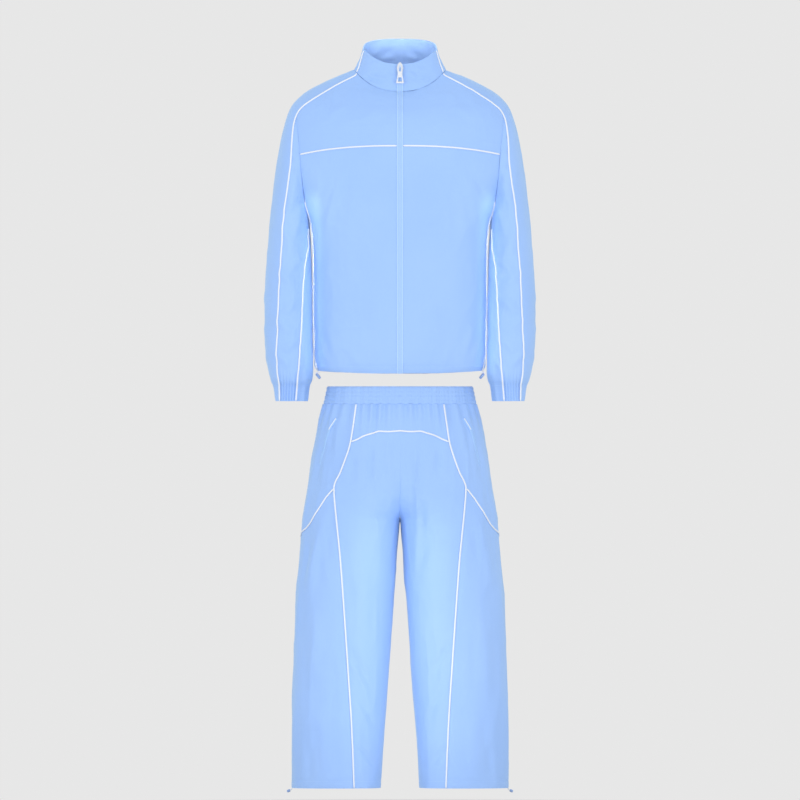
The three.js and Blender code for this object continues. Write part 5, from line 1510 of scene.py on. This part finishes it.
CORD_SECTION = ring_section(0.9, 0.9, 0, 30)
CORD_ROWS = 24
TOGGLE_RADIUS = 3.2
GROOVE_DEPTH = 0.22
for cord_name, toggle_name, run, end in (
    ("hem_loop", "hem_toggle", JACKET_CORD, (183.5, -40, -705)),
    ("leg_loop", "leg_toggle", TROUSER_CORD, (260, -6, -1655.4)),
):
    cord_line = tube_points(run, CORD_ROWS)
    normals = np.tile([0.0, -1.0, 0.0], (len(cord_line), 1))
    axis = np.array(end, float) - cord_line[-1]
    profile = toggle_profile(float(np.linalg.norm(axis)))
    for suffix, mirrored in SIDES:
        flip = np.array([-1 if mirrored else 1, 1, 1])
        cord = sweep(cord_name + "_cord" + suffix, cord_line * flip, normals, CORD_SECTION, SQUARE_ENDS)
        dress(cord, "cord", "cord", cord_name + suffix)
        barrel = turned_piece(toggle_name + "_barrel" + suffix, cord_line[-1] * flip, axis * flip, profile)
        dress(barrel, "toggle", "toggle", toggle_name + suffix)


# Stitching
def inset(name, side, distance):
    """A line on a piece of cloth at a distance from one of its sides."""
    outer, normals = pieces[name]["outer"], pieces[name]["normals"]
    if side in ("first", "last"):
        outer, normals = outer.swapaxes(0, 1), normals.swapaxes(0, 1)
    if side in ("right", "last"):
        outer, normals = outer[:, ::-1], normals[:, ::-1]
    lengths = running_length(outer, 1)
    points, directions = [], []
    for row, length, normal in zip(outer, lengths, normals):
        if length[-1] > distance * 1.5:
            points.append(interpolated(distance, length, row))
            directions.append(interpolated(distance, length, normal))
    return np.array(points), unit(np.array(directions))


STITCH = bar(0.24, 1.15, -0.12, 0.3, 0.45)
STITCH_PITCH = 3.1


def add_stitches(name, lines):
    """Rows of single stitches along lines of points and directions, as one piece."""
    centres, tangents, normals = [], [], []
    for points, directions in lines:
        even_points, even_normals = even_line(points, directions, STITCH_PITCH)
        centres.append(even_points[1:-1])
        tangents.append(unit(np.gradient(even_points, axis=0))[1:-1])
        normals.append(even_normals[1:-1])
    obj = scattered(name, *STITCH, *(np.concatenate(part) for part in (centres, tangents, normals)))
    dress(obj, "thread", "cloth")


def seam_lines(*rows):
    """Lines of stitching from rows of piece, side and distance. A piece of a pair has them on both."""
    lines = []
    for name, side, distance in rows:
        names = [name] if name in pieces else [name + suffix for suffix, mirrored in SIDES]
        lines += [inset(piece_name, side, distance) for piece_name in names]
    return lines


ZIP_SEAM = 3.2  # distances of the stitching from a panel's edge
PANEL_SEAM = 3.4
BACK_SEAM = 2.6
RIM_SEAM = 4.5
HEM_SEAM = 16
CUFF_SEAMS = (36, 20, 4)
WAISTBAND_SEAM_ROWS = (1, 6, 11, 17)

add_stitches("stitching_jacket_body", seam_lines(
    ("jacket_front", "left", ZIP_SEAM),
    ("jacket_front", "first", HEM_SEAM),
    ("jacket_front", "last", PANEL_SEAM),
    ("jacket_front", "right", PANEL_SEAM),
    ("jacket_front_yoke", "left", ZIP_SEAM),
    ("jacket_front_yoke", "first", PANEL_SEAM),
    ("jacket_side", "first", HEM_SEAM),
    ("jacket_back", "first", HEM_SEAM),
    ("collar_front", "left", ZIP_SEAM),
    ("collar_front", "last", RIM_SEAM),
    ("collar_back", "last", RIM_SEAM),
))
add_stitches("stitching_sleeves", seam_lines(
    *[(name, "last", at) for name in ("sleeve_front", "sleeve_under", "sleeve_band") for at in CUFF_SEAMS],
    ("sleeve_band", "left", PANEL_SEAM),
    ("sleeve_band", "right", BACK_SEAM),
))
band = pieces["waistband"]
round_line = np.append(np.arange(band["outer"].shape[1]), 0)
add_stitches("stitching_waistband", [
    (band["outer"][row][round_line], band["normals"][row][round_line]) for row in WAISTBAND_SEAM_ROWS
])
add_stitches("stitching_legs", seam_lines(
    ("trouser_centre_front", "last", HEM_SEAM),
    ("trouser_outer_leg", "last", HEM_SEAM),
    ("trouser_back", "last", HEM_SEAM),
    ("trouser_outer_leg", "left", PANEL_SEAM),
    ("trouser_pocket_side", "last", PANEL_SEAM),
    ("trouser_front_yoke", "last", PANEL_SEAM),
    ("trouser_back_yoke", "last", PANEL_SEAM),
    ("trouser_back", "right", BACK_SEAM),
    ("trouser_centre_front", "right", PANEL_SEAM),
))


# Materials
def srgb(r, g, b):
    """A colour from its screen values of 0 to 255."""
    def linear(c):
        c /= 255
        return c / 12.92 if c <= 0.04045 else ((c + 0.055) / 1.055) ** 2.4

    return (linear(r), linear(g), linear(b), 1.0)


class Nodes:
    """Short calls for a node tree."""

    def __init__(self, tree):
        self.tree = tree

    def feed(self, node, name, value):
        """Gives an input its value, or links it where the value is another node's output."""
        socket = node.inputs[name]
        if isinstance(value, bpy.types.NodeSocket):
            self.tree.links.new(value, socket)
        else:
            socket.default_value = value

    def add(self, kind, inputs=None, **settings):
        node = self.tree.nodes.new(kind)
        for name, value in settings.items():
            setattr(node, name, value)
        for name, value in (inputs or {}).items():
            self.feed(node, name, value)
        return node

    def math(self, operation, a, b=0.5):
        return self.add("ShaderNodeMath", {0: a, 1: b}, operation=operation).outputs[0]

    def blend(self, factor, a, b):
        """Mixes two colours, whose sockets are 6 and 7 of the node."""
        return self.add("ShaderNodeMix", {0: factor, 6: a, 7: b}, data_type="RGBA").outputs[2]


WEAVE_SOCKETS = [
    ("INPUT", "Colour", "Color"),
    ("INPUT", "Shade", "Color"),
    ("INPUT", "Threads per metre", "Float"),
    ("INPUT", "Weave depth", "Float"),
    ("INPUT", "Crinkle depth", "Float"),
    ("INPUT", "Roughness", "Float"),
    ("OUTPUT", "Colour", "Color"),
    ("OUTPUT", "Roughness", "Float"),
    ("OUTPUT", "Normal", "Vector"),
]


def weave_group():
    """Plain weave with a crinkled hand: gives a colour, a roughness and a bumped direction."""
    group = bpy.data.node_groups.new("plain_weave", "ShaderNodeTree")
    for in_out, name, kind in WEAVE_SOCKETS:
        group.interface.new_socket(name=name, in_out=in_out, socket_type="NodeSocket" + kind)
    n = Nodes(group)
    given = n.add("NodeGroupInput").outputs
    place = n.add("ShaderNodeTexCoord").outputs

    def noise(scale, detail, rough):
        inputs = {"Vector": place["Object"], "Scale": scale, "Detail": detail, "Roughness": rough}
        return n.add("ShaderNodeTexNoise", inputs).outputs["Fac"]

    threads = n.add("ShaderNodeVectorMath", {0: place["UV"]}, operation="SCALE")
    group.links.new(given["Threads per metre"], threads.inputs["Scale"])
    axes = n.add("ShaderNodeSeparateXYZ", {0: threads.outputs[0]}).outputs
    warp = n.math("SINE", n.math("MULTIPLY", axes[0], math.pi))
    weft = n.math("SINE", n.math("MULTIPLY", axes[1], math.pi))
    weave = n.math("MULTIPLY", warp, weft)
    crinkle = noise(55.0, 4.0, 0.55)
    fine = noise(260.0, 3.0, 0.6)
    large = noise(6.0, 2.0, 0.5)
    height = n.math("ADD", crinkle, n.math("MULTIPLY", fine, 0.22))
    soft = n.add("ShaderNodeBump", {"Height": height, "Distance": given["Crinkle depth"], "Strength": 0.7})
    woven = n.add("ShaderNodeBump", {"Height": weave, "Distance": given["Weave depth"], "Strength": 0.5})
    group.links.new(soft.outputs["Normal"], woven.inputs["Normal"])
    patch = n.add("ShaderNodeMapRange", {"Value": large, "From Min": 0.35, "From Max": 0.65})
    speck = n.math("MULTIPLY", n.math("ADD", weave, 1.0), 0.10)
    factor = n.math("ADD", n.math("MULTIPLY", patch.outputs["Result"], 0.42), speck)
    colour = n.blend(factor, given["Colour"], given["Shade"])
    uneven = n.math("MULTIPLY", n.math("SUBTRACT", fine, 0.5), 0.14)
    rough = n.math("ADD", given["Roughness"], uneven)
    n.add("NodeGroupOutput", {"Colour": colour, "Roughness": rough, "Normal": woven.outputs[0]})
    return group


WEAVE = weave_group()
SHEEN_TINT = (0.5, 0.75, 1.0, 1.0)
SHEEN_ROUGHNESS = 0.5
CLOTH_SHINE = 0.35


def new_material(name):
    """A material with its short calls and its shader."""
    material = bpy.data.materials.new(name)
    material.use_nodes = True
    return material, Nodes(material.node_tree), material.node_tree.nodes["Principled BSDF"]


def cloth_material(name, colour, shade, threads, weave_depth, crinkle_depth, roughness, sheen):
    material, n, shader = new_material(name)
    weave = n.add("ShaderNodeGroup", {
        "Colour": srgb(*colour),
        "Shade": srgb(*shade),
        "Threads per metre": threads,
        "Weave depth": weave_depth,
        "Crinkle depth": crinkle_depth,
        "Roughness": roughness,
    }, node_tree=WEAVE)
    n.feed(shader, "Base Color", weave.outputs["Colour"])
    n.feed(shader, "Roughness", weave.outputs["Roughness"])
    n.feed(shader, "Normal", weave.outputs["Normal"])
    n.feed(shader, "Sheen Weight", sheen)
    n.feed(shader, "Sheen Roughness", SHEEN_ROUGHNESS)
    n.feed(shader, "Sheen Tint", SHEEN_TINT)
    n.feed(shader, "Specular IOR Level", CLOTH_SHINE)
    return material


def hard_material(name, colour, metallic, roughness, grain):
    """Metal or plastic with a fine grain that dulls it unevenly."""
    material, n, shader = new_material(name)
    bright = srgb(*colour)
    dull = tuple(c * 0.86 for c in bright[:3]) + (1.0,)
    place = n.add("ShaderNodeTexCoord").outputs["Object"]
    noise = n.add("ShaderNodeTexNoise", {"Vector": place, "Scale": grain, "Detail": 4.0}).outputs["Fac"]
    bump = n.add("ShaderNodeBump", {"Height": noise, "Distance": 0.00004, "Strength": 0.5})
    n.feed(shader, "Base Color", n.blend(n.math("MULTIPLY", noise, 0.5), bright, dull))
    n.feed(shader, "Roughness", n.math("ADD", n.math("MULTIPLY", noise, 0.16), roughness - 0.08))
    n.feed(shader, "Normal", bump.outputs[0])
    n.feed(shader, "Metallic", metallic)
    return material


# Columns: finish, material, colour, shade, threads a metre, weave depth, crinkle depth, roughness, sheen
CLOTHS = [
    ("cloth", "light_blue_cloth", (158, 194, 248), (150, 187, 245), 2600, 0.00006, 0.0006, 0.58, 0.8),
    ("tape", "zip_tape_cloth", (168, 205, 251), (161, 200, 249), 1800, 0.0001, 0.0001, 0.7, 0.8),
    ("piping", "white_piping", (232, 238, 247), (218, 227, 241), 2000, 0.00008, 0.0001, 0.5, 0.2),
    ("cord", "white_cord", (240, 244, 251), (222, 230, 244), 1500, 0.00016, 0.00012, 0.6, 0.8),
    # the zip's edge strips: a lighter blue that is a painted highlight on the raised edges beside the zip
    ("edge", "zip_edge_painted_highlight", (182, 214, 253), (174, 208, 251), 1800, 0.0001, 0.0001, 0.7, 0.8),
    ("thread", "blue_thread", (176, 210, 252), (150, 190, 245), 3000, 0.00004, 0.00005, 0.5, 0.8),
]
# Columns: finish, material, colour, metallic, roughness, grains a metre
HARD_FINISHES = [
    ("teeth", "zip_coil", (178, 210, 252), 0.0, 0.45, 900.0),
    ("metal", "zip_metal", (226, 231, 240), 0.7, 0.36, 700.0),
    ("toggle", "toggle_plastic", (150, 178, 224), 0.0, 0.42, 1200.0),
]
materials = {finish: cloth_material(*values) for finish, *values in CLOTHS}
materials.update({finish: hard_material(*values) for finish, *values in HARD_FINISHES})
for name, finish in finishes.items():
    bpy.data.objects[name].data.materials.append(materials[finish])


# Stage, light and camera
# The photo's 800 pixels are 2.3 mm each, and the frame's origin is in its row 72.
PHOTO_SIZE = 800
PHOTO_ORIGIN_ROW = 72
PIXEL = 2.3
CENTRE_Z = (PHOTO_ORIGIN_ROW - PHOTO_SIZE / 2) * PIXEL * SCALE
FRAME_WIDTH = PHOTO_SIZE * PIXEL * SCALE
CAMERA_DISTANCE = 40.0
CAMERA_REACH = 90
SENSOR = 36.0
GARMENT_PLANE = -0.03
FLOOR_Z = -1.72
FLOOR_RADIUS = 2.0
FLOOR_SIDES = 96
FLOOR_LOW = srgb(223, 222, 221)
FLOOR_HIGH = srgb(227, 226, 225)
WORLD_STRENGTH = 0.80


def floor_material():
    material, n, shader = new_material("floor_paper")
    place = n.add("ShaderNodeTexCoord").outputs["Object"]
    noise = n.add("ShaderNodeTexNoise", {"Vector": place, "Scale": 0.7, "Detail": 1.0})
    n.feed(shader, "Base Color", n.blend(noise.outputs["Fac"], FLOOR_LOW, FLOOR_HIGH))
    n.feed(shader, "Roughness", 0.95)
    n.feed(shader, "Specular IOR Level", 0.05)
    return material


def floor():
    """A round pale floor. The wall behind it is the world's even light."""
    turns = np.linspace(0, 2 * np.pi, FLOOR_SIDES, endpoint=False)
    verts = [(FLOOR_RADIUS * math.cos(t), FLOOR_RADIUS * math.sin(t), FLOOR_Z) for t in turns]
    mesh = bpy.data.meshes.new("floor")
    mesh.from_pydata(verts, [], [tuple(range(FLOOR_SIDES))])
    mesh.materials.append(floor_material())
    obj = bpy.data.objects.new("floor", mesh)
    bpy.context.scene.collection.objects.link(obj)


floor()

world = bpy.data.worlds.new("studio")
world.use_nodes = True
world.node_tree.nodes["Background"].inputs["Color"].default_value = (1, 1, 1, 1)
world.node_tree.nodes["Background"].inputs["Strength"].default_value = WORLD_STRENGTH
bpy.context.scene.world = world


def area_light(name, place, target, size, power, spread):
    """A flat lamp that the camera doesn't see, with its spread in degrees."""
    light = bpy.data.lights.new(name, "AREA")
    light.shape = "RECTANGLE"
    light.size, light.size_y = size
    light.energy = power
    light.spread = math.radians(spread)
    obj = bpy.data.objects.new(name, light)
    obj.visible_camera = False
    obj.location = place
    obj.rotation_mode = "QUATERNION"
    obj.rotation_quaternion = (Vector(target) - Vector(place)).to_track_quat("-Z", "Y")
    bpy.context.scene.collection.objects.link(obj)


# Columns: name, place, what it shines at, size, power, spread
STUDIO_LAMPS = [
    ("front", (-0.5, -12.0, -0.9), (0, 0, -0.8), (4.5, 4.5), 205, 180),
    ("left", (-8.6, -7.6, -0.8), (0, 0, -0.8), (4.0, 4.5), 245, 180),
    ("right", (8.6, -7.6, -0.8), (0, 0, -0.8), (4.0, 4.5), 250, 180),
    ("collar", (0, -0.05, 0.13), (0, 0.06, 0.12), (0.1, 0.04), 0.115, 180),
]
# the same on each side, for the narrow spaces beside the body and between the legs
SIDE_LAMPS = [
    ("beside_body", (0.216, -0.2, -0.46), (0.212, 0, -0.46), (0.04, 0.42), 0.016, 180),
    ("side_seam", (0.212, -0.24, -0.49), (0.2, -0.04, -0.49), (0.012, 0.4), 0.022, 22),
    ("inside_leg", (0.045, -0.2, -1.34), (0.06, 0, -1.34), (0.04, 0.62), 0.085, 180),
]
for lamp in STUDIO_LAMPS:
    area_light(*lamp)
for side in (-1, 1):
    for name, place, target, *rest in SIDE_LAMPS:
        flip = np.array([side, 1, 1])
        area_light(name, place * flip, target * flip, *rest)

camera = bpy.data.cameras.new("camera")
camera.sensor_width = SENSOR
camera.lens = SENSOR * (CAMERA_DISTANCE + GARMENT_PLANE) / FRAME_WIDTH
camera.clip_start = 0.1
camera.clip_end = CAMERA_REACH
camera_object = bpy.data.objects.new("camera", camera)
camera_object.location = (0, -CAMERA_DISTANCE, CENTRE_Z)
camera_object.rotation_euler = (math.pi / 2, 0, 0)
bpy.context.scene.collection.objects.link(camera_object)
bpy.context.scene.camera = camera_object
bpy.context.scene.view_settings.view_transform = "Standard"
bpy.context.scene.view_settings.look = "None"
